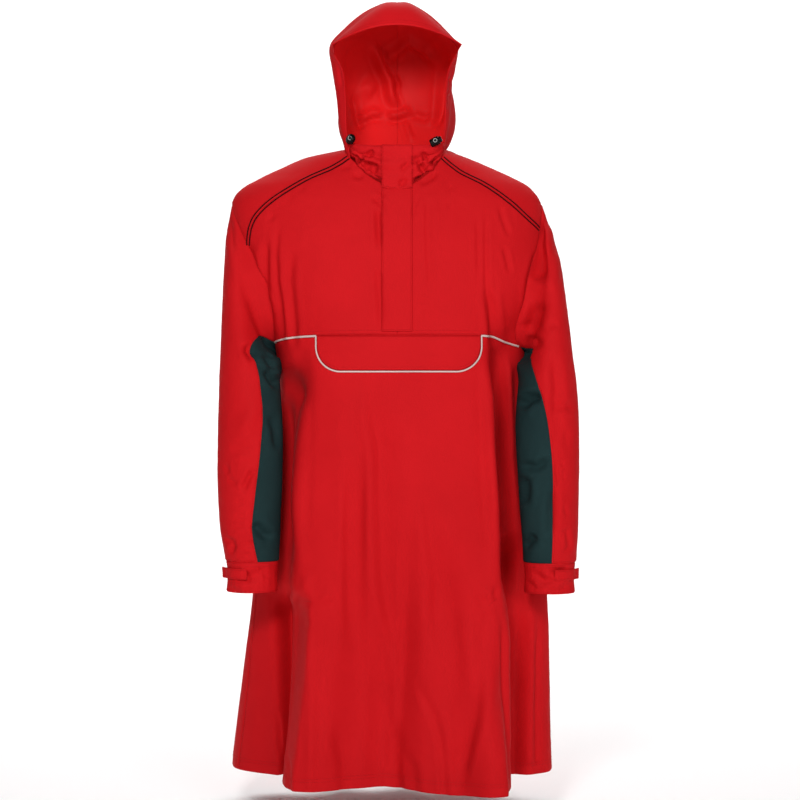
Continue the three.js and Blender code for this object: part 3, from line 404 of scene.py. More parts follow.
SLEEVE_CREASES = {
    "right": table(
        CREASE_COLUMNS,
        (6, 4.3, 1.0, 0.3, 0.4, [(-291, -97), (-285, -143), (-276, -176)]),
        (7, 6.4, 1.0, 0.3, 0.4, [(-258, -322), (-246, -349), (-236, -358)]),
        (8, 3.5, 1.0, 0.4, 0.4, [(-282, -503), (-238, -498)]),
        (5, 5.5, 1.0, 0.3, 0.3, [(-260, -575), (-245, -544), (-233, -535)]),
        (4, 2.3, 1.0, 0.4, 0.4, [(-289, -526), (-281, -545)]),
        (3.5, 2.3, 1.0, 0.4, 0.4, [(-276, -614), (-252, -612)]),
        (3.5, 2.8, 1.0, 0.4, 0.4, [(-278, -623), (-251, -620)]),
        (3.5, 2.3, 1.0, 0.4, 0.4, [(-275, -632), (-252, -630)]),
        (6, 5.2, 1.0, 0.4, 0.4, [(-293, -656), (-268, -660)]),
        (5, 5.5, 1.0, 0.4, 0.4, [(-282, -680), (-271, -659)]),
        (4, 2.3, 1.0, 0.4, 0.4, [(-256, -664), (-232, -658)]),
        (12, -3.5, 1.0, 0.4, 0.4, [(-227, -418), (-267, -487)]),
        (4, 2.3, 1.0, 0.4, 0.4, [(-273, -680), (-242, -678)]),
        (4, 2.6, 1.0, 0.4, 0.4, [(-286, -550), (-265, -563)]),
        (4, 1.9, 1.0, 0.4, 0.4, [(-270, -591), (-252, -590)]),
        (7, 10.2, 1.0, 0.3, 0.3, [(-222, -366), (-210, -384), (-198, -400)]),
        (6, 7.2, 1.0, 0.3, 0.3, [(-224, -338), (-214, -356), (-200, -372)]),
        (7, 7.2, 1.0, 0.3, 0.3, [(-214, -440), (-204, -470), (-200, -508)]),
        (8, 10.2, 1.0, 0.3, 0.3, [(-243, -624), (-226, -642), (-210, -656)]),
        (9, 8.0, 1.0, 0.3, 0.3, [(-256, -326), (-244, -336), (-232, -345)]),
    ),
    "left": table(
        CREASE_COLUMNS,
        (9, 13.0, 1.2, 0.2, 0.2, [(250, -97), (240, -146), (236, -214)]),
        (13, 13.0, 1.0, 0.2, 0.4, [(232, -218), (246, -196), (254, -150)]),
        (10, 11.6, 1.0, 0.2, 0.4, [(220, -304), (231, -291), (244, -248)]),
        (8, 7.2, 1.0, 0.3, 0.3, [(262, -560), (258, -610), (256, -660)]),
        (9, 5.8, 1.0, 0.3, 0.3, [(262, -330), (268, -400), (262, -470)]),
        (6, 2.6, 1.0, 0.4, 0.4, [(252, -296), (276, -290)]),
        (7, 4.9, 1.0, 0.3, 0.4, [(225, -308), (246, -334)]),
        (7, 4.3, 1.0, 0.4, 0.4, [(258, -431), (307, -429)]),
        (7, 2.3, 1.0, 0.4, 0.4, [(285, -460), (282, -510)]),
        (3.5, 2.2, 1.0, 0.3, 0.3, [(262, -525), (283, -528)]),
        (3.5, 2.2, 1.0, 0.3, 0.3, [(266, -524), (270, -568)]),
        (3.5, 1.9, 1.0, 0.3, 0.3, [(283, -547), (268, -551)]),
        (3.5, 1.7, 1.0, 0.4, 0.4, [(278, -594), (286, -617)]),
        (4.5, 3.2, 1.0, 0.3, 0.3, [(268, -643), (285, -640), (289, -667), (275, -680)]),
        (9, 2.6, 1.0, 0.4, 0.4, [(274, -443), (263, -510)]),
        (8, 13.0, 1.0, 0.3, 0.3, [(244, -414), (222, -417), (204, -435)]),
        (7, 8.7, 1.0, 0.3, 0.3, [(257, -517), (234, -532), (204, -531)]),
        (8, 8.7, 1.0, 0.3, 0.3, [(214, -545), (216, -575), (212, -600)]),
        (8, 8.7, 1.0, 0.3, 0.3, [(211, -670), (234, -645)]),
    ),
}
# On the hood's back wall a trough from outside is a ridge to one who looks in at the front
HOOD_BACK_CREASES = table(
    CREASE_COLUMNS,
    (9, 15.3, 0.7, 0.25, 0.3, [(-47, 228), (-30, 186), (-14, 156), (-10, 129), (6, 95)]),
    (7, 10.2, 1.0, 0.3, 0.3, [(-24, 93), (0, 92), (14, 97), (27, 108)]),
    (4.5, -7.6, 1.0, 0.3, 0.3, [(-21, 86), (-1, 84), (11, 88), (23, 97)]),
    (8, 6.8, 1.0, 0.3, 0.3, [(-72, 80), (-44, 98), (-24, 94)]),
    (5, -5.1, 1.0, 0.3, 0.3, [(-75, 70), (-43, 88), (-21, 85)]),
    (6, -5.8, 1.0, 0.3, 0.3, [(24, 98), (49, 88), (68, 93)]),
    (4, -6.8, 1.0, 0.3, 0.3, [(-4, 168), (5, 144)]),
    (7, -11.9, 1.0, 0.2, 0.2, [(90, 195), (82, 165), (78, 99), (66, 62)]),
    (6, -6.8, 1.0, 0.3, 0.2, [(-80, 136), (-70, 81), (-62, 60)]),
    (8, 8.5, 1.0, 0.3, 0.3, [(-26, 182), (-11, 202), (22, 218)]),
    (7, 8.5, 1.0, 0.3, 0.3, [(-12, 210), (22, 222), (52, 206), (80, 172)]),
    (17, 8.5, 1.0, 0.4, 0.4, [(-68, 152), (-38, 134)]),
    (5, 5.1, 1.0, 0.3, 0.3, [(30, 40), (20, 62), (14, 84)]),
)
HOOD_FRONT_CREASES = table(
    CREASE_COLUMNS,
    (3, 3.9, 1.0, 0.4, 0.2, [(-98, 138), (-74, 139)]),
    (3, 4.2, 1.0, 0.4, 0.2, [(-98, 121), (-77, 121)]),
    (3, 4.2, 1.0, 0.4, 0.2, [(-96, 94), (-78, 101)]),
    (3, 3.3, 1.0, 0.4, 0.2, [(98, 128), (80, 130)]),
    (3, 3.3, 1.0, 0.4, 0.2, [(98, 104), (80, 108)]),
    (5, 4.5, 1.0, 0.3, 0.3, [(96, 150), (92, 110), (88, 70)]),
    (5, 3.9, 1.0, 0.3, 0.3, [(-98, 170), (-94, 150), (-92, 110)]),
)
COLLAR_CREASES = table(
    CREASE_COLUMNS,
    (6, 10.1, 1.0, 0.3, 0.3, [(-84, -6), (-68, -9), (-54, -7)]),
    (6, 10.1, 1.0, 0.3, 0.3, [(-64, -19), (-44, -22), (-29, -30)]),
    (6, 7.8, 1.0, 0.3, 0.3, [(-48, -29), (-38, -39), (-28, -53)]),
    (6, 10.1, 1.0, 0.3, 0.3, [(16, -22), (34, -13), (45, -26), (48, -40)]),
    (5, 7.3, 1.0, 0.3, 0.3, [(6, -31), (22, -16)]),
    (7, 10.1, 1.0, 0.3, 0.3, [(40, -11), (74, -11)]),
    (6, 10.1, 1.0, 0.3, 0.3, [(28, -54), (34, -46), (49, -42), (64, -28)]),
    (5, 6.5, 1.0, 0.3, 0.3, [(2, -56), (18, -45)]),
    (5, 5.5, 1.0, 0.3, 0.3, [(42, 4), (50, -15)]),
    (5, 5.5, 1.0, 0.3, 0.3, [(-40, 6), (-52, -8)]),
)
CUFF_CREASES = {
    "right": table(
        CREASE_COLUMNS,
        (8, 5.0, 1.0, 0.3, 0.3, [(-277, -712), (-255, -716), (-222, -712)]),
        (6, 4.4, 1.0, 0.3, 0.3, [(-288, -738), (-262, -746), (-236, -738)]),
        (5, 3.0, 1.0, 0.3, 0.3, [(-262, -706), (-244, -728)]),
        (5, 2.6, 1.0, 0.3, 0.3, [(-232, -700), (-214, -722)]),
    ),
    "left": table(
        CREASE_COLUMNS,
        (7, 5.0, 1.0, 0.3, 0.3, [(252, -704), (268, -708), (290, -706)]),
        (6, 4.4, 1.0, 0.3, 0.3, [(226, -708), (248, -724), (270, -718)]),
        (6, 3.6, 1.0, 0.3, 0.3, [(246, -738), (270, -742), (296, -730)]),
        (5, 2.6, 1.0, 0.3, 0.3, [(218, -724), (236, -740)]),
    ),
}
# The creases of each group of pieces: on its front where facing is -1, on its back where it is 1
CREASES = {
    "body": ((FRONT_CREASES, -1), (BACK_CREASES, 1)),
    "sleeve_right": ((SLEEVE_CREASES["right"], -1),),
    "sleeve_left": ((SLEEVE_CREASES["left"], -1),),
    "cuff_right": ((CUFF_CREASES["right"], -1),),
    "cuff_left": ((CUFF_CREASES["left"], -1),),
    "hood": ((HOOD_BACK_CREASES, 1), (HOOD_FRONT_CREASES, -1)),
    "collar": ((COLLAR_CREASES, -1),),
}
RUMPLE = {"body": 1.3, "sleeve_right": 1.5, "sleeve_left": 1.5, "hood": 0.9, "collar": 1.2,
          "cuff_right": 0.9, "cuff_left": 0.9}


def relief(points, group, middle=0.0):
    """How far out each point of a group of pieces moves; middle divides its front from its back."""
    total = rumple(points, RUMPLE[group])
    for rows, facing in CREASES[group]:
        here = smooth((points[..., 1] - middle) * facing / 24)
        for row in rows:
            total = total + here * crease(points[..., [0, 2]], row)
    return total


def hollow_depth(angle, z):
    """How far back the cloth goes in the hollows of the big folds beside the cuffs."""
    turned = (angle + 540) % 360 - 180
    total = 0
    for row in HOLLOWS:
        share = np.clip((row["top"] - z) / (row["top"] - row["low"]), 0, 1)
        outer = mix(row["outer"], row["outer_low"], share)
        rise = smooth((turned - outer) / (row["rim"] - outer))
        fall = smooth((turned - row["inner"]) / (row["edge"] - row["inner"]))
        grown = smooth((row["top"] - z) / row["fade"])
        gone = mix(1, row["left"], smooth(share))
        total = total + row["depth"] * rise * fall * grown * gone
    return total


def body_cloth(angle, z, out=0.0):
    """The body's surface with its relief."""
    points = body(angle, z)
    normals = body_normal(angle, z)
    points[..., 1] += hollow_depth(angle, z)
    moved = relief(points, "body")
    return points + normals * (moved + out)[..., None]


# Seam lines on the body as arrays of (angle, z)
def count(n):
    return np.linspace(0, 1, n + 1)


def line(angle, z):
    return np.stack([angle, z + 0 * angle], axis=-1)


def neck_z(angle):
    turned = abs((angle + 540) % 360 - 180)
    return along(NECK, "angle", turned, "z")


def neck_line(start, end, n):
    angle = mix(start, end, count(n))
    return line(angle, neck_z(angle))


def through(places, n):
    curve = spline(places, count(400))
    run = np.concatenate([[0], np.cumsum(np.linalg.norm(np.diff(curve, axis=0), axis=1))])
    at = run[-1] * count(n)
    return np.stack([np.interp(at, run, curve[:, 0]), np.interp(at, run, curve[:, 1])], axis=-1)


def armhole(sign, turn):
    middle = (ARMHOLE["top"] + ARMHOLE["bottom"]) / 2
    tall = (ARMHOLE["top"] - ARMHOLE["bottom"]) / 2
    up = np.cos(np.radians(turn))
    away = ARMHOLE["half"] * np.sin(np.radians(turn)) * (1 - ARMHOLE["egg"] * up)
    return line(sign * (90 - away), middle + tall * up)


def hole_line(sign, start, end, n):
    return armhole(sign, mix(start, end, count(n)))


def join(*lines):
    return np.concatenate([lines[0], *[item[1:] for item in lines[1:]]])


def turned(places, sign):
    return np.asarray(places, float) * (sign, 1)


def yoke_front_seam(side, n):
    s = SIDES[side]
    start = (YOKE_START, neck_z(YOKE_START))
    end = armhole(1, s["yoke_front"])
    return turned(through([start, *YOKE_FRONT[side], end], n), s["sign"])


def yoke_back_seam(side, n):
    s = SIDES[side]
    start = (YOKE_END, neck_z(YOKE_END))
    end = armhole(1, s["yoke_back"])
    return turned(through([start, *YOKE_BACK, end], n), s["sign"])


def chest_seam(side, n):
    s = SIDES[side]
    places = [(0, CHEST["middle"]), (CHEST["side_angle"] / 2, CHEST["middle"]),
              (CHEST["side_angle"], CHEST["side"]), armhole(1, s["chest"])]
    return turned(through(places, n), s["sign"])


def side_seam(sign, n):
    return line(np.full(n + 1, 90.0 * sign), mix(HEM, ARMHOLE["bottom"], count(n)))


def filled(bottom, top, start, end):
    """Places inside four edges, as rows of columns."""
    u = count(len(bottom) - 1)[None, :, None]
    v = count(len(start) - 1)[:, None, None]
    across = (1 - v) * bottom[None] + v * top[None]
    upward = (1 - u) * start[:, None] + u * end[:, None]
    corners = ((1 - u) * (1 - v) * bottom[0] + u * (1 - v) * bottom[-1]
               + (1 - u) * v * top[0] + u * v * top[-1])
    return across + upward - corners


# Grids to meshes
def lengths(grid, axis):
    steps = np.linalg.norm(np.diff(grid, axis=axis), axis=-1)
    start = np.zeros_like(np.take(steps, [0], axis=axis))
    return np.concatenate([start, np.cumsum(steps, axis=axis)], axis=axis)


def grid_normals(grid, inside, closed=False):
    if closed:
        wide = np.concatenate([grid[:, -1:], grid, grid[:, :1]], axis=1)
        across = (wide[:, 2:] - wide[:, :-2])
    else:
        across = np.gradient(grid, axis=1)
    upward = np.gradient(grid, axis=0)
    normals = unit(np.cross(across, upward))
    away = np.sum(normals * (grid - inside), axis=-1, keepdims=True)
    return np.where(away < 0, -normals, normals)


def near_edges(grid, at=(1.4, 3.6), closed=False):
    """The row and column numbers of a grid with extra lines close to its edges."""
    def numbers(axis):
        size = grid.shape[axis]
        step = np.mean(np.linalg.norm(np.diff(grid, axis=axis), axis=-1))
        extra = [min(a / step, 0.8 * (i + 1) / len(at)) for i, a in enumerate(at)]
        inner = list(range(1, size - 1))
        return np.array([0, *extra, *inner, *[size - 1 - e for e in reversed(extra)], size - 1], float)
    rows = numbers(0)
    columns = np.arange(grid.shape[1], dtype=float) if closed else numbers(1)
    return rows, columns


def resample(grid, rows, columns):
    def take(values, at, axis):
        low = np.minimum(np.floor(at).astype(int), values.shape[axis] - 2)
        share = (at - low).reshape((-1, 1, 1) if axis == 0 else (1, -1, 1))
        return mix(np.take(values, low, axis=axis), np.take(values, low + 1, axis=axis), share)
    return take(take(grid, rows, 0), columns, 1)


def edge_distance(grid, closed=False):
    up = lengths(grid, 0)
    away = np.minimum(up, up[-1:] - up)
    if not closed:
        across = lengths(grid, 1)
        away = np.minimum(away, np.minimum(across, across[:, -1:] - across))
    return away


def make_mesh(name, grid, normals, closed=False):
    """A mesh of a grid in metres, facing along its normals, with its flat size in UV."""
    rows, columns = grid.shape[:2]
    number = np.arange(rows * columns).reshape(rows, columns)
    after = np.roll(number, -1, axis=1) if closed else number[:, 1:]
    here = number if closed else number[:, :-1]
    quads = np.stack([here[:-1], after[:-1], after[1:], here[1:]], axis=-1).reshape(-1, 4)
    r, c = rows // 2, columns // 2
    facing = np.cross(grid[r, c + 1] - grid[r, c], grid[r + 1, c] - grid[r, c])
    if facing @ normals[r, c] < 0:
        quads = quads[:, ::-1]
    mesh = bpy.data.meshes.new(name)
    mesh.from_pydata((grid.reshape(-1, 3) * MM).tolist(), [], quads.tolist())
    mesh.polygons.foreach_set("use_smooth", np.ones(len(quads), bool))
    flat = np.stack([lengths(grid, 1), lengths(grid, 0)], axis=-1).reshape(-1, 2) * MM
    uv = mesh.uv_layers.new(name="flat")
    corners = np.empty(len(mesh.loops), int)
    mesh.loops.foreach_get("vertex_index", corners)
    uv.data.foreach_set("uv", flat[corners].ravel())
    return mesh


def add(name, mesh, nodes, slot, *materials):
    piece = bpy.data.objects.new(name, mesh)
    bpy.context.scene.collection.objects.link(piece)
    for material in materials:
        mesh.materials.append(material)
    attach(piece, "root")
    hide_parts(*nodes)
    return piece


def cloth(name, grid, normals, materials, slot="shell", thick=THICK, closed=False, roll=0.9):
    """A thin shell of cloth over a grid, its edges rolled in where it is sewn."""
    rows, columns = near_edges(grid, closed=closed)
    normals = unit(resample(normals, rows, columns))
    grid = resample(grid, rows, columns)
    edge = edge_distance(grid, closed)
    pucker = 0.55 * noise(grid, 7) * np.exp(-edge / 9)
    inward = roll * np.exp(-(edge / 1.6) ** 2)
    grid = grid + normals * (pucker - inward)[..., None]
    piece = add(f"{name}_cloth", make_mesh(f"{name}_cloth", grid, normals, closed), [name], slot, *materials)
    shell = piece.modifiers.new("thickness", "SOLIDIFY")
    shell.thickness = thick * MM
    shell.offset = -1
    shell.material_offset = len(materials) - 1
    shell.material_offset_rim = 0
    return piece, grid, normals


# Materials
def material_base(name):
    material = bpy.data.materials.new(name)
    material.use_nodes = True
    nodes = material.node_tree.nodes
    return material, nodes, material.node_tree.links, nodes["Principled BSDF"]


def cloth_material(name, color, deep, rough, shine=0.1, tint=(1, 1, 1, 1), weave=0.35, grain=1400):
    """Coated woven cloth: two close colours in broad patches, and a plain weave in the relief."""
    material, nodes, links, shader = material_base(name)
    shader.inputs["Specular IOR Level"].default_value = shine
    shader.inputs["Specular Tint"].default_value = tint
    place = nodes.new("ShaderNodeTexCoord")
    patches = nodes.new("ShaderNodeTexNoise")
    patches.inputs["Scale"].default_value = 9
    patches.inputs["Detail"].default_value = 5
    links.new(place.outputs["Object"], patches.inputs["Vector"])
    ramp = nodes.new("ShaderNodeValToRGB")
    ramp.color_ramp.elements[0].position = 0.3
    ramp.color_ramp.elements[0].color = (*deep, 1)
    ramp.color_ramp.elements[1].position = 0.72
    ramp.color_ramp.elements[1].color = (*color, 1)
    links.new(patches.outputs["Fac"], ramp.inputs["Fac"])
    links.new(ramp.outputs["Color"], shader.inputs["Base Color"])
    gloss = nodes.new("ShaderNodeMapRange")
    gloss.inputs["To Min"].default_value = rough - 0.06
    gloss.inputs["To Max"].default_value = rough + 0.06
    links.new(patches.outputs["Fac"], gloss.inputs["Value"])
    links.new(gloss.outputs["Result"], shader.inputs["Roughness"])
    threads = []
    for axis in "XY":
        wave = nodes.new("ShaderNodeTexWave")
        wave.bands_direction = axis
        wave.inputs["Scale"].default_value = grain / 20
        wave.inputs["Distortion"].default_value = 0.6
        links.new(place.outputs["UV"], wave.inputs["Vector"])
        threads.append(wave)
    both = nodes.new("ShaderNodeMath")
    both.operation = "MULTIPLY"
    for k, wave in enumerate(threads):
        links.new(wave.outputs["Fac"], both.inputs[k])
    bump = nodes.new("ShaderNodeBump")
    bump.inputs["Strength"].default_value = weave
    bump.inputs["Distance"].default_value = 0.0002
    links.new(both.outputs["Value"], bump.inputs["Height"])
    links.new(bump.outputs["Normal"], shader.inputs["Normal"])
    return material


RED = cloth_material("red_cloth", (0.60, 0.0085, 0.0125), (0.55, 0.0070, 0.0105), 0.68, 0.05)
RED_INSIDE = cloth_material("red_coating", (0.84, 0.017, 0.019), (0.76, 0.014, 0.016), 0.5, 0.06, weave=0.15)
GREEN = cloth_material("green_cloth", (0.0150, 0.0370, 0.0380), (0.011, 0.027, 0.029), 0.75, 0.05)
SILVER = cloth_material("silver_piping", (0.74, 0.58, 0.55), (0.58, 0.45, 0.43), 0.42, 0.3, weave=0.3)
DARK = cloth_material("dark_cord", (0.022, 0.004, 0.005), (0.014, 0.003, 0.004), 0.7, 0.03)
BLACK = cloth_material("black_plastic", (0.0035, 0.0035, 0.004), (0.002, 0.002, 0.002), 0.3, 0.14, weave=0.05)
METAL = cloth_material("eyelet_metal", (0.45, 0.44, 0.43), (0.36, 0.35, 0.34), 0.3, 0.5, weave=0.05)
THREAD = cloth_material("red_thread", (0.40, 0.0055, 0.0080), (0.34, 0.0045, 0.0065), 0.6, 0.1)
DARK_THREAD = cloth_material("dark_thread", (0.010, 0.022, 0.024), (0.007, 0.016, 0.018), 0.6, 0.1)


# The pieces on the body
def body_piece(name, places, materials, **options):
    angle, z = places[..., 0], places[..., 1]
    grid = body_cloth(angle, z)
    return cloth(name, grid, body_normal(angle, z), materials, **options)


def make_chest(side):
    s = SIDES[side]
    across, up = FINE["chest"]
    neck = turned(neck_line(0, YOKE_START, STEPS["neck_front"] * across), s["sign"])
    top = join(neck, yoke_front_seam(side, STEPS["yoke_seam"] * across))
    bottom = chest_seam(side, (STEPS["neck_front"] + STEPS["yoke_seam"]) * across)
    rows = STEPS["chest"] * up
    middle = line(np.zeros(rows + 1), mix(CHEST["middle"], float(neck_z(0.0)), count(rows)))
    hole = hole_line(s["sign"], s["chest"], s["yoke_front"], rows)
    return body_piece(f"chest_{side}", filled(bottom, top, middle, hole), [RED])


def make_yoke(side):
    s = SIDES[side]
    across, up = FINE["yoke"]
    columns, rows = STEPS["yoke_seam"] * across, STEPS["neck_yoke"] * up
    neck = turned(neck_line(YOKE_START, YOKE_END, rows), s["sign"])
    hole = hole_line(s["sign"], s["yoke_front"], s["yoke_back"] - 360, rows)
    places = filled(yoke_front_seam(side, columns), yoke_back_seam(side, columns), neck, hole)
    return body_piece(f"yoke_{side}", places, [RED])


def make_front_skirt():
    across, up = FINE["skirt"]
    rows = STEPS["side"] * up
    seam_steps = (STEPS["neck_front"] + STEPS["yoke_seam"]) * across
    right = hole_line(-1, 180, SIDES["right"]["chest"], STEPS["under"] * across)
    left = hole_line(1, SIDES["left"]["chest"], 180, STEPS["under"] * across)
    top = join(right, chest_seam("right", seam_steps)[::-1], chest_seam("left", seam_steps), left)
    hem = line(mix(-90, 90, count(len(top) - 1)), HEM)
    places = filled(hem, top, side_seam(-1, rows), side_seam(1, rows))
    return body_piece("front_skirt", places, [RED, RED_INSIDE])


def make_back():
    across, up = FINE["back"]

    def edge(side):
        s = SIDES[side]
        under = hole_line(s["sign"], 180, UNDER_BACK, STEPS["under"] * up)
        hole = hole_line(s["sign"], UNDER_BACK, s["yoke_back"], STEPS["back"] * up)
        seam = yoke_back_seam(side, STEPS["yoke_seam"] * up)[::-1]
        return join(side_seam(s["sign"], STEPS["side"] * up), under, hole, seam)

    columns = STEPS["neck_back"] * across
    hem = line(mix(90, 270, count(columns)), HEM)
    around = edge("right")
    around[:, 0] = around[:, 0] % 360
    places = filled(hem, neck_line(YOKE_END, 360 - YOKE_END, columns), edge("left"), around)
    return body_piece("back", places, [RED, RED_INSIDE])


# Sleeves
def sleeve_turns(side, front, back, k):
    s = SIDES[side]
    yoke_front, chest, yoke_back = s["yoke_front"] + 360, s["chest"] + 360, s["yoke_back"]
    hole = join(mix(UNDER_BACK, yoke_back, count(STEPS["back"] * k)),
                mix(yoke_back, yoke_front, count(STEPS["neck_yoke"] * k)),
                mix(yoke_front, chest, count(STEPS["chest"] * k)))
    outer = mix(back, front + 360, (hole - UNDER_BACK) / (chest - UNDER_BACK))
    under = join(mix(s["chest"], 180, count(STEPS["under"] * k)),
                 mix(180, UNDER_BACK, count(STEPS["under"] * k)))
    inner = mix(front, back, (under - s["chest"]) / (UNDER_BACK - s["chest"]))
    return hole, outer, under, inner


def sleeve_ring(row, turn):
    outward = np.cos(np.radians(turn))
    x = (row["out_x"] + row["in_x"]) / 2 + (row["out_x"] - row["in_x"]) / 2 * outward
    z = (row["out_z"] + row["in_z"]) / 2 + (row["out_z"] - row["in_z"]) / 2 * outward
    return np.stack([x, row["y"] - row["depth"] * np.sin(np.radians(turn)), z], axis=-1)


def sleeve_grid(side):
    k, fine = FINE["sleeve"]
    rows = SLEEVES[side]
    hole, _, under, _ = sleeve_turns(side, rows[0]["front"], rows[0]["back"], k)
    places = armhole(SIDES[side]["sign"], np.concatenate([hole[:-1], under[:-1]]))
    rings = [body_cloth(places[:, 0], places[:, 1])]
    for row in rows:
        _, outer, _, inner = sleeve_turns(side, row["front"], row["back"], k)
        rings.append(sleeve_ring(row, np.concatenate([outer[:-1], inner[:-1]])))
    grid = spline(rings, count(len(rows) * fine))
    # the panel's top fills out against the body
    sign = SIDES[side]["sign"]
    share = np.maximum(np.arange(grid.shape[1]) - len(hole) + 1, 0) / (grid.shape[1] - len(hole) + 1)
    inner = smooth(np.minimum(share, 1 - share) / 0.3) * (share > 0)
    near = np.exp(-((grid[..., 2] - ARMPIT["z"]) / ARMPIT["half"]) ** 2) * smooth(lengths(grid, 0) / 12)
    grid[..., 0] -= sign * (ARMPIT["reach"] * inner * near + SEAM_TUCK * smooth(1 - lengths(grid, 0) / 7))
    return grid, len(hole) - 1


def make_sleeve(side):
    grid, outer = sleeve_grid(side)
    middles = grid.mean(axis=1, keepdims=True)
    normals = grid_normals(grid, middles, closed=True)
    group = f"sleeve_{side}"
    moved = relief(grid, group, middles[..., 1])
    fade = smooth(lengths(grid, 0) / 11)
    grid = grid + normals * (moved * fade)[..., None]
    made = {}
    for name, start, end, material, slot in (
        (f"sleeve_{side}", 0, outer, RED, "shell"),
        (f"underarm_panel_{side}", outer, grid.shape[1], GREEN, "underarm"),
    ):
        picked = np.arange(start, end + 1) % grid.shape[1]
        made[name] = cloth(name, grid[:, picked], normals[:, picked], [material], slot=slot)
    return made


# Cuffs
def cuff_ring(side, drop, out):
    last = SLEEVES[side][-1]
    squeeze = 1 - 0.05 * np.sin(np.pi * drop / CUFF_HEIGHT)
    half = abs(last["out_x"] - last["in_x"]) / 2 * squeeze * 0.98 + out
    middle = np.array([(last["out_x"] + last["in_x"]) / 2, last["y"]])
    return middle, half, last["depth"] * squeeze + out, last["out_z"] - drop


def make_cuff(side):
    turns = np.radians(np.linspace(0, 360, 120, endpoint=False))
    drop, turn = np.meshgrid(np.linspace(0, CUFF_HEIGHT, 27), turns, indexing="ij")
    middle, half, depth, z = cuff_ring(side, drop, 0)
    grid = np.stack([middle[0] + half * np.cos(turn), middle[1] + depth * np.sin(turn), z], axis=-1)
    inside = np.stack([0 * z + middle[0], 0 * z + middle[1], z], axis=-1)
    normals = grid_normals(grid, inside, closed=True)
    fullness = 0.4 + 0.6 * np.sin(np.pi * drop / CUFF_HEIGHT)
    gathers = 0.35 * np.sin(turn * 23 + 2 * np.sin(turn * 5)) * fullness
    grid = grid + normals * (gathers + relief(grid, f"cuff_{side}", middle[1]))[..., None]
    return cloth(f"cuff_{side}", grid, normals, [RED, RED_INSIDE], closed=True, roll=1.4)


def make_tab(side):
    sign = SIDES[side]["sign"]
    down, u = np.meshgrid(np.linspace(0, 1, 9), np.linspace(0, 1, 49), indexing="ij")
    turn = np.radians(mix(TAB["start"], TAB["end"], u))
    out = 2.6 + TAB["lift"] * smooth((u - 0.72) / 0.28)
    middle, half, depth, z = cuff_ring(side, CUFF_HEIGHT * 0.22 + down * TAB["height"], out)
    grid = np.stack([middle[0] + sign * half * np.cos(turn), middle[1] - depth * np.sin(turn), z], axis=-1)
    normals = grid_normals(grid, np.array([middle[0], middle[1], z.mean()]))
    return cloth(f"cuff_tab_{side}", grid, normals, [RED], thick=TAB["thick"], roll=0.5)


# Hood, peak and collar
def neck_point(angle):
    return body_cloth(angle, neck_z(angle))


def hood_half(side, k, rows):
    sign = SIDES[side]["sign"]
    t = count(STEPS["neck_back"] // 2 * k)
    keys = []
    for arch in ARCHES:
        foot = neck_point(np.array(float(sign * mix(YOKE_START, YOKE_END, arch["share"]))))
        outline = ARCH_SHAPES[arch["shape"]]
        shape = [{"at": i / 8, "out": out, "up": up} for i, (out, up) in enumerate(outline)]
        out = along(shape, "at", t, "out")
        up = along(shape, "at", t, "up")
        keys.append(np.stack([foot[0] * out, mix(foot[1], arch["top_y"], up),
                              mix(foot[2], arch["top_z"], up)], axis=-1))
    nape = neck_point(sign * mix(180.0, YOKE_END, t))
    keys.append(nape)
    grid = spline(keys, count(rows))
    # its foot follows the neck line between the arches too
    shares = [arch["share"] for arch in ARCHES] + [1]
    at = np.interp(count(rows) * len(ARCHES), range(len(shares)), shares)
    miss = neck_point(sign * mix(YOKE_START, YOKE_END, at)) - grid[:, -1]
    grid = grid + miss[:, None] * smooth((t - 0.7) / 0.3)[None, :, None]
    low = np.maximum(smooth((t - 0.92) / 0.08)[None, :], smooth((count(rows) - 0.93) / 0.07)[:, None])
    grid[..., 2] -= SEAM_TUCK * low
    return grid


def hood_grid():
    k, fine = FINE["hood"]
    right = hood_half("right", k, 10 * fine)
    left = hood_half("left", k, 10 * fine)
    return np.concatenate([right[:, ::-1], left[:, 1:]], axis=1)


def make_hood():
    grid = hood_grid()
    half = grid.shape[1] // 2
    normals = grid_normals(grid, np.array([0, 0, 130]))
    moved = relief(grid, "hood")
    grid = grid + normals * (moved * smooth(edge_distance(grid) / 12))[..., None]
    made = {}
    for name, start, end in (("hood_right", 0, half), ("hood_left", half, 2 * half)):
        part = slice(start, end + 1)
        made[name] = cloth(name, grid[:, part], normals[:, part], [RED, RED_INSIDE], slot="hood")
    return made


def make_peak():
    k = FINE["hood"][0]
    right = hood_half("right", k, 10)[0][:7 * k + 1]
    left = hood_half("left", k, 10)[0][1:7 * k + 1]
    edge = np.concatenate([right[::-1], left])
    u = np.linspace(-1, 1, len(edge))
    rise = 1 - u * u
    low = np.stack([PEAK["corner"] * u, mix(PEAK["corner_y"], PEAK["y"], rise),
                    mix(PEAK["corner_z"], PEAK["z"], rise)], axis=-1)
    t = np.linspace(0, 1, 19)[:, None, None]
    swell = PEAK["bulge"] * np.sin(np.pi * t) * rise[None, :, None]
    grid = mix(edge[None], low[None], t) + swell * (0, -1, 1)
    grid = grid + smooth(1 - t / 0.1) * (0, SEAM_TUCK, -0.8)
    normals = grid_normals(grid, np.array([0, -60, 150]))
    grid = grid + normals * rumple(grid, 0.5)[..., None]
    return cloth("hood_peak", grid, normals, [RED], thick=1.6)


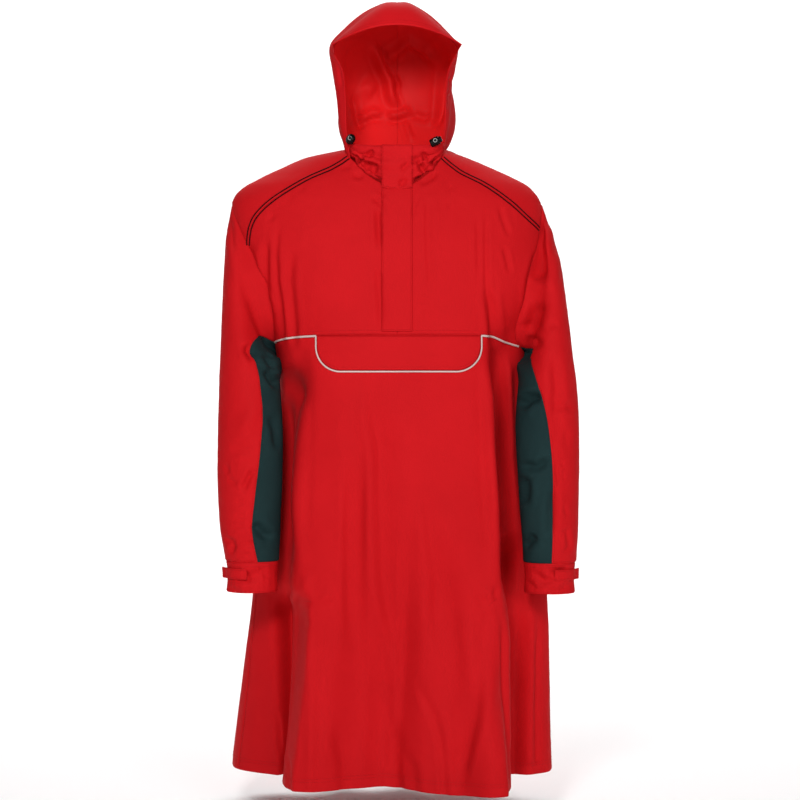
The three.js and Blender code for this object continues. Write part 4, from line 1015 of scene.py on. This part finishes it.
def collar_point(x01, t, sign):
    foot = neck_point(sign * YOKE_START * x01) + (0, 0, 0.6)
    top = np.stack([sign * COLLAR["side_x"] * np.sin(x01 * np.pi / 2),
                    mix(COLLAR["top_y"], COLLAR["side_y"], x01 ** 2),
                    mix(COLLAR["top_z"], COLLAR["side_z"], x01 ** 2)], axis=-1)
    fade = np.sin(np.pi * t) * np.sin(np.pi * x01)
    wave = COLLAR["roll"] * np.sin(t * COLLAR["rolls"] * 2 * np.pi) * fade
    point = mix(foot, top, t[..., None])
    point[..., 1] -= wave
    return point


def make_collar():
    shares = np.linspace(-1, 1, 121) * COLLAR["reach"]
    t, across = np.meshgrid(np.linspace(0, 1, 37), shares, indexing="ij")
    grid = collar_point(abs(across), t, np.where(across < 0, -1, 1))
    normals = grid_normals(grid, np.array([0, -10, -20]))
    moved = relief(grid, "collar")
    grid = grid + normals * moved[..., None]
    made = {}
    for name, start, end in (("collar_right", 0, 60), ("collar_left", 60, 120)):
        made[name] = cloth(name, grid[:, start:end + 1], normals[:, start:end + 1], [RED])
    return made


def make_chin_flap():
    wide = np.linspace(-PLACKET["half"], PLACKET["half"], 27)
    t, x = np.meshgrid(np.linspace(-0.1, 1, 31), wide, indexing="ij")
    grid = collar_point(abs(x) / COLLAR["side_x"] * 0.62, t, np.where(x < 0, -1, 1))
    grid[..., 0] = x
    grid = grid + (0, -5.1, 1)
    normals = grid_normals(grid, np.array([0, 0, -20]))
    grid = grid + normals * (0.8 * relief(grid, "collar"))[..., None]
    return cloth("chin_flap", grid, normals, [RED], thick=2, roll=0.8)


# Pieces that lie on the front
def lay_on(name, x, z, out, materials, slot="shell", **options):
    angle = angle_at(x, z)
    return cloth(name, body_cloth(angle, z, out), body_normal(angle, z), materials, slot=slot, **options)


def make_placket():
    z, x = np.meshgrid(np.linspace(PLACKET["top"], PLACKET["bottom"], 60),
                       np.linspace(-PLACKET["half"], PLACKET["half"], 15), indexing="ij")
    return lay_on("placket", x, z, 2.6, [RED], thick=2)


def make_pocket_flap():
    middle = (FLAP["right"] + FLAP["left"]) / 2
    half = (FLAP["left"] - FLAP["right"]) / 2
    down, u = np.meshgrid(np.linspace(0, 1, 17), np.linspace(-1, 1, 97), indexing="ij")
    x = middle + half * np.sin(u * np.pi / 2)
    inward = np.minimum(np.minimum(x - FLAP["right"], FLAP["left"] - x), FLAP["corner"])
    cut = FLAP["corner"] - np.sqrt(np.maximum(FLAP["corner"] ** 2 - (FLAP["corner"] - inward) ** 2, 0))
    return lay_on("pocket_flap", x, mix(FLAP["top"], FLAP["bottom"] + cut, down), 3.2, [RED], thick=2.2)


def strip(name, node, path, normals, width, height, material, slot, sides=8):
    """A rounded strip of piping along a path, as a closed tube."""
    way = unit(np.gradient(path, axis=0))
    across = unit(np.cross(way, normals))
    turn = np.linspace(0, 2 * np.pi, sides, endpoint=False)[None, :, None]
    rings = (path[:, None] + across[:, None] * np.cos(turn) * width / 2
             + normals[:, None] * (np.sin(turn) + 1) * height / 2)
    mesh = make_mesh(name, rings, rings - path[:, None], closed=True)
    return add(name, mesh, node, slot, material)


def on_body(places, out):
    angle, z = places[:, 0], places[:, 1]
    return body_cloth(angle, z, out), body_normal(angle, z)


def make_flap_piping():
    out = 2.6
    corner = FLAP["corner"]
    low = FLAP["bottom"] + corner
    reach = corner + out
    turn = np.radians(np.linspace(0, 90, 25))
    right = np.stack([FLAP["right"] + corner - reach * np.cos(turn), low - reach * np.sin(turn)], axis=-1)
    left = np.stack([FLAP["left"] - corner + reach * np.cos(turn), low - reach * np.sin(turn)], axis=-1)
    ends = [np.array([[FLAP["right"] - out, z] for z in np.linspace(FLAP["top"] + 1, low, 6)[:-1]]),
            np.array([[FLAP["left"] + out, z] for z in np.linspace(FLAP["top"] + 1, low, 6)[:-1]])]
    bottom = np.stack([np.linspace(right[-1, 0], left[-1, 0], 80)[1:-1], np.full(78, low - reach)], axis=-1)
    xz = np.concatenate([ends[0], right, bottom, left[::-1], ends[1][::-1]])
    angle = angle_at(xz[:, 0], xz[:, 1])
    path, normals = on_body(np.stack([angle, xz[:, 1]], axis=-1), 0.8)
    return strip("flap_piping_strip", ["flap_piping"], path, normals, 2.9, 1.8, SILVER, "piping")


def make_chest_piping(side):
    seam = chest_seam(side, 140)
    x = abs(body(seam[:, 0], seam[:, 1])[:, 0])
    edge = abs(FLAP["right"] if side == "right" else FLAP["left"])
    path, normals = on_body(seam[x > edge + 1][:-4], 0.6)
    node = f"chest_piping_{side}"
    return strip(f"{node}_strip", [node], path, normals, 3.6, 1.8, SILVER, "piping")


def make_yoke_tape(side, which, seam):
    path, normals = on_body(seam[1:-2], 0.4)
    way = unit(np.gradient(path, axis=0))
    across = unit(np.cross(way, normals))
    node = f"yoke_tape_{which}_{side}"
    made = []
    for k, sign in enumerate((-1, 1)):
        shifted = path + across * sign * TAPE["apart"] / 2
        name = f"{node}_cord_{'ab'[k]}"
        made.append(strip(name, [node], shifted, normals, TAPE["cord"], TAPE["cord"], DARK, "tape"))
    return made


# Stitching: each stitch is a small long grain of thread
STITCH = {"pitch": 3.3, "length": 2.5, "width": 0.7, "height": 0.5, "proud": 0.1, "sunk": 0.3}
SEAMS = table(
    "piece edge inset rows start end",
    ("chest", "low", 3.0, 2, 0.0, 1.0), ("chest", "last", 3.0, 1, 0.0, 1.0),
    ("yoke", "high", 6.5, 1, 0.0, 1.0), ("yoke", "low", 6.5, 1, 0.0, 1.0),
    ("yoke", "last", 3.0, 1, 0.0, 1.0), ("collar", "high", 2.5, 1, 0.0, 1.0),
    ("hood", "low", 3.0, 1, 0.0, 1.0), ("hood", "low", 17.0, 1, 0.0, 1.0),
    ("cuff", "low", 3.0, 2, 0.0, 1.0), ("cuff", "high", 3.0, 1, 0.0, 1.0),
    ("cuff_tab", "low", 2.5, 1, 0.0, 1.0), ("cuff_tab", "high", 2.5, 1, 0.0, 1.0),
    ("cuff_tab", "last", 2.5, 1, 0.15, 0.85),
    ("sleeve", "first", 3.0, 1, 0.0, 1.0), ("sleeve", "last", 3.0, 1, 0.0, 1.0),
    ("sleeve", "high", 3.0, 1, 0.0, 1.0),
    ("underarm_panel", "first", 3.0, 1, 0.0, 1.0), ("underarm_panel", "last", 3.0, 1, 0.0, 1.0),
    ("front_skirt", "low", 16.0, 2, 0.0, 1.0), ("back", "low", 16.0, 2, 0.0, 1.0),
    ("front_skirt", "first", 3.0, 1, 0.0, 1.0), ("front_skirt", "last", 3.0, 1, 0.0, 1.0),
    ("placket", "first", 3.0, 1, 0.0, 1.0), ("placket", "last", 3.0, 1, 0.0, 1.0),
    ("placket", "high", 3.0, 1, 0.0, 1.0), ("chin_flap", "first", 2.5, 1, 0.0, 1.0),
    ("chin_flap", "last", 2.5, 1, 0.0, 1.0), ("chin_flap", "low", 2.5, 1, 0.0, 1.0),
    ("chin_flap", "high", 2.5, 1, 0.0, 1.0), ("pocket_flap", "high", 5.0, 1, 0.02, 0.98),
    ("hood_right", "last", 3.0, 1, 0.0, 1.0), ("hood_left", "first", 3.0, 1, 0.0, 1.0),
    ("hood_peak", "low", 3.0, 1, 0.0, 1.0), ("hood_peak", "high", 4.0, 2, 0.0, 1.0),
)
ROW_GAP = 5.0                   # between two rows of stitches


def inset_line(grid, normals, edge, inset):
    """The line at a distance inside one edge of a grid: its rows first and last, or its columns."""
    if edge in ("first", "last"):
        grid, normals = grid.swapaxes(0, 1), normals.swapaxes(0, 1)
    if edge in ("high", "last"):
        grid, normals = grid[::-1], normals[::-1]
    run = lengths(grid, 0)
    low = np.clip((run < inset).sum(axis=0) - 1, 0, len(grid) - 2)
    column = np.arange(grid.shape[1])
    share = (inset - run[low, column]) / np.maximum(run[low + 1, column] - run[low, column], 1e-6)
    share = np.clip(share, 0, 1)[:, None]
    return (mix(grid[low, column], grid[low + 1, column], share),
            unit(mix(normals[low, column], normals[low + 1, column], share)))


def stitch_mesh(name, paths):
    """All the stitches along some paths, as one mesh."""
    points, faces = [], []
    for path, normals, start, end in paths:
        run = np.concatenate([[0], np.cumsum(np.linalg.norm(np.diff(path, axis=0), axis=1))])
        total = run[-1]
        first = total * start + STITCH["pitch"] / 2
        for at in np.arange(first, total * end - STITCH["pitch"] / 2, STITCH["pitch"]):
            at = at + np.array([-0.5, 0, 0.5]) * STITCH["length"]
            a, middle, b = np.stack([np.interp(at, run, path[:, k]) for k in range(3)], axis=-1)
            up = unit(np.array([np.interp(at[1], run, normals[:, k]) for k in range(3)]))
            out = unit(np.cross(b - a, up)) * STITCH["width"] / 2
            n = len(points)
            top = middle + up * STITCH["height"]
            points += [a - up * STITCH["proud"], middle - out, b - up * STITCH["proud"], middle + out, top,
                       middle - up * STITCH["sunk"]]
            for k in range(4):
                faces.append((n + k, n + (k + 1) % 4, n + 4))
                faces.append((n + (k + 1) % 4, n + k, n + 5))
    mesh = bpy.data.meshes.new(name)
    mesh.from_pydata((np.array(points) * MM).tolist(), [], faces)
    mesh.polygons.foreach_set("use_smooth", np.ones(len(faces), bool))
    uv = mesh.uv_layers.new(name="flat")
    uv.data.foreach_set("uv", np.tile([0.0, 0.0, 0.001, 0.0, 0.0, 0.001], len(faces)))
    return mesh


def kind_of(name):
    return name.removesuffix("_right").removesuffix("_left")


def seams_of(name):
    """The seams of a piece: its own, and those of its kind on both sides."""
    return [seam for seam in SEAMS if seam["piece"] in (name, kind_of(name))]


def make_stitches(name):
    paths = []
    for seam in seams_of(name):
        _, grid, normals = pieces[name]
        for k in range(seam["rows"]):
            path, ups = inset_line(grid, normals, seam["edge"], seam["inset"] + k * ROW_GAP)
            if name in ("cuff_right", "cuff_left"):
                path, ups = np.concatenate([path, path[:1]]), np.concatenate([ups, ups[:1]])
            paths.append((path + ups * STITCH["proud"], ups, seam["start"], seam["end"]))
    slot = {"underarm_panel": "underarm", "hood": "hood"}.get(kind_of(name), "shell")
    thread = DARK_THREAD if slot == "underarm" else THREAD
    return add(f"{name}_stitches", stitch_mesh(f"{name}_stitches", paths), [name], slot, thread)


# Bar tacks: short dense bars of thread across the puckers, at (x, z) with their half length
TACKS = table("x z half turn", (-152, -757, 10, 5), (157, -757, 9, 40))


def make_tacks():
    paths = []
    for tack in TACKS:
        turn = math.radians(tack["turn"])
        reach = np.linspace(-1, 1, 9) * tack["half"]
        x, z = tack["x"] + reach * math.cos(turn), tack["z"] + reach * math.sin(turn)
        path, normals = on_body(np.stack([angle_at(x, z), z], axis=-1), 0.1)
        paths += [(path + normals * 0.2 * k, normals, 0.0, 1.0) for k in range(2)]
    return add("bar_tacks", stitch_mesh("bar_tacks", paths), ["front_skirt"], "shell", THREAD)


# Cord locks: a ribbed barrel with a button at one end, and an eyelet
LOCK_PROFILE = table(
    "along radius",
    (-10.5, 0), (-10.5, 5.0), (-9.6, 6.4), (-7.4, 7.2), (-7.0, 6.6), (-5.6, 6.6), (-5.2, 7.4), (-3.8, 7.6),
    (-3.4, 6.9), (-1.8, 6.9), (-1.4, 7.7), (1.4, 7.8), (1.8, 7.0), (3.4, 7.0), (3.8, 7.6), (5.4, 7.3),
    (5.8, 5.6), (8.0, 5.4), (9.8, 5.0), (10.5, 3.8), (10.5, 0),
)
LOCK_VIEW = {"right": (12, -76), "left": (24, -8)}
EYELET_PROFILE = table(
    "along radius",
    (-1.0, 3.0), (-0.4, 3.6), (0.4, 3.6), (1.0, 3.0), (0.5, 2.4), (-0.5, 2.4), (-1.0, 3.0),
)
EYELET_PLACE = {"right": (-1.0, -9.5, 0.5), "left": (-1.5, -7.0, 0.5)}


def lock_centre(side):
    """The middle of the solid's box."""
    node = bpy.data.objects[f"cord_lock_{side}"]
    corners = np.array([node.matrix_world @ Vector(corner) for corner in node.bound_box]) / MM
    return (corners.min(axis=0) + corners.max(axis=0)) / 2


def lock_mesh(name, centre, tilt, turn, profile, sides=28):
    """A turned body about an axis that leans by tilt in the picture and turns away by turn."""
    a, b = math.radians(tilt), math.radians(turn)
    axis = np.array([math.cos(a) * math.cos(b), math.cos(a) * math.sin(b), math.sin(a)])
    one = unit(np.cross(axis, (0, 0.3, 1)))
    two = np.cross(axis, one)
    rounds = np.linspace(0, 2 * np.pi, sides, endpoint=False)[None, :, None]
    at = np.array([row["along"] for row in profile])[:, None, None]
    radius = np.array([max(row["radius"], 0.02) for row in profile])[:, None, None]
    grid = centre + axis * at + radius * (one * np.cos(rounds) + two * np.sin(rounds))
    return make_mesh(name, grid, unit(grid - (centre + axis * at)), closed=True)


def make_lock(side):
    node = f"cord_lock_{side}"
    centre = lock_centre(side)
    barrel = lock_mesh(f"{node}_barrel", centre, *LOCK_VIEW[side], LOCK_PROFILE)
    add(f"{node}_barrel", barrel, [node], "cord_lock", BLACK)
    eyelet = lock_mesh(f"{node}_eyelet", centre + EYELET_PLACE[side], 0, -90, EYELET_PROFILE, sides=20)
    add(f"{node}_eyelet", eyelet, [node], "cord_lock", METAL)


pieces = {}
for side in ("right", "left"):
    pieces[f"chest_{side}"] = make_chest(side)
    pieces[f"yoke_{side}"] = make_yoke(side)
    pieces.update(make_sleeve(side))
    pieces[f"cuff_{side}"] = make_cuff(side)
    pieces[f"cuff_tab_{side}"] = make_tab(side)
    make_chest_piping(side)
    make_yoke_tape(side, "front", yoke_front_seam(side, 90))
    make_yoke_tape(side, "back", yoke_back_seam(side, 90))
pieces["front_skirt"] = make_front_skirt()
pieces["back"] = make_back()
pieces.update(make_hood())
pieces["hood_peak"] = make_peak()
pieces.update(make_collar())
pieces["chin_flap"] = make_chin_flap()
pieces["placket"] = make_placket()
pieces["pocket_flap"] = make_pocket_flap()
make_flap_piping()
stitched = {name: make_stitches(name) for name in sorted(pieces)}
make_tacks()
for side in ("right", "left"):
    make_lock(side)


# Camera, floor and light
camera_data = bpy.data.cameras.new("camera")
camera_data.sensor_width = 36
camera_data.lens = 84.86
camera = bpy.data.objects.new("camera", camera_data)
camera.location = (0.005, -3.3, -0.42)
camera.rotation_euler = (math.pi / 2, 0, 0)
bpy.context.scene.collection.objects.link(camera)
bpy.context.scene.camera = camera

FLOOR_Z = HEM * MM - 0.07


def make_floor():
    turn = np.radians(np.linspace(0, 90, 24))
    start, bend = 3.8, 1.5
    curve = [(start + bend * math.sin(a), bend - bend * math.cos(a)) for a in turn[1:]]
    profile = [(-9.0, 0.0), (start, 0.0), *curve, (start + bend, 7.0)]
    grid = np.array([[(x, y, z + FLOOR_Z) for x in (-9.0, 0.0, 9.0)] for y, z in profile]) / MM
    normals = grid_normals(grid, np.array([0, 0, -9000]))
    mesh = make_mesh("floor", grid, -normals)
    floor = bpy.data.objects.new("floor", mesh)
    bpy.context.scene.collection.objects.link(floor)
    material, nodes, links, shader = material_base("paper")
    shader.inputs["Base Color"].default_value = (0.93, 0.93, 0.93, 1)
    shader.inputs["Roughness"].default_value = 0.9
    mesh.materials.append(material)


def make_light(name, place, target, size, energy):
    data = bpy.data.lights.new(name, "AREA")
    data.size = size
    data.energy = energy
    light = bpy.data.objects.new(name, data)
    light.location = place
    way = np.array(target) - np.array(place)
    light.rotation_euler = Vector(way).to_track_quat("-Z", "Y").to_euler()
    bpy.context.scene.collection.objects.link(light)


make_floor()
make_light("key", (-0.4, -2.4, 0.6), (0, 0, -0.15), 0.5, 33)
make_light("fill", (2.0, -4.0, 0.4), (0, 0, -0.15), 1.6, 50)
make_light("backdrop", (0, 2.6, 3.2), (0, 4.0, -1.0), 4.0, 235)
bpy.context.scene.view_settings.view_transform = "Standard"
world = bpy.data.worlds.new("studio")
bpy.context.scene.world = world
world.use_nodes = True
world.node_tree.nodes["Background"].inputs["Color"].default_value = (1, 1, 1, 1)
world.node_tree.nodes["Background"].inputs["Strength"].default_value = 0.15
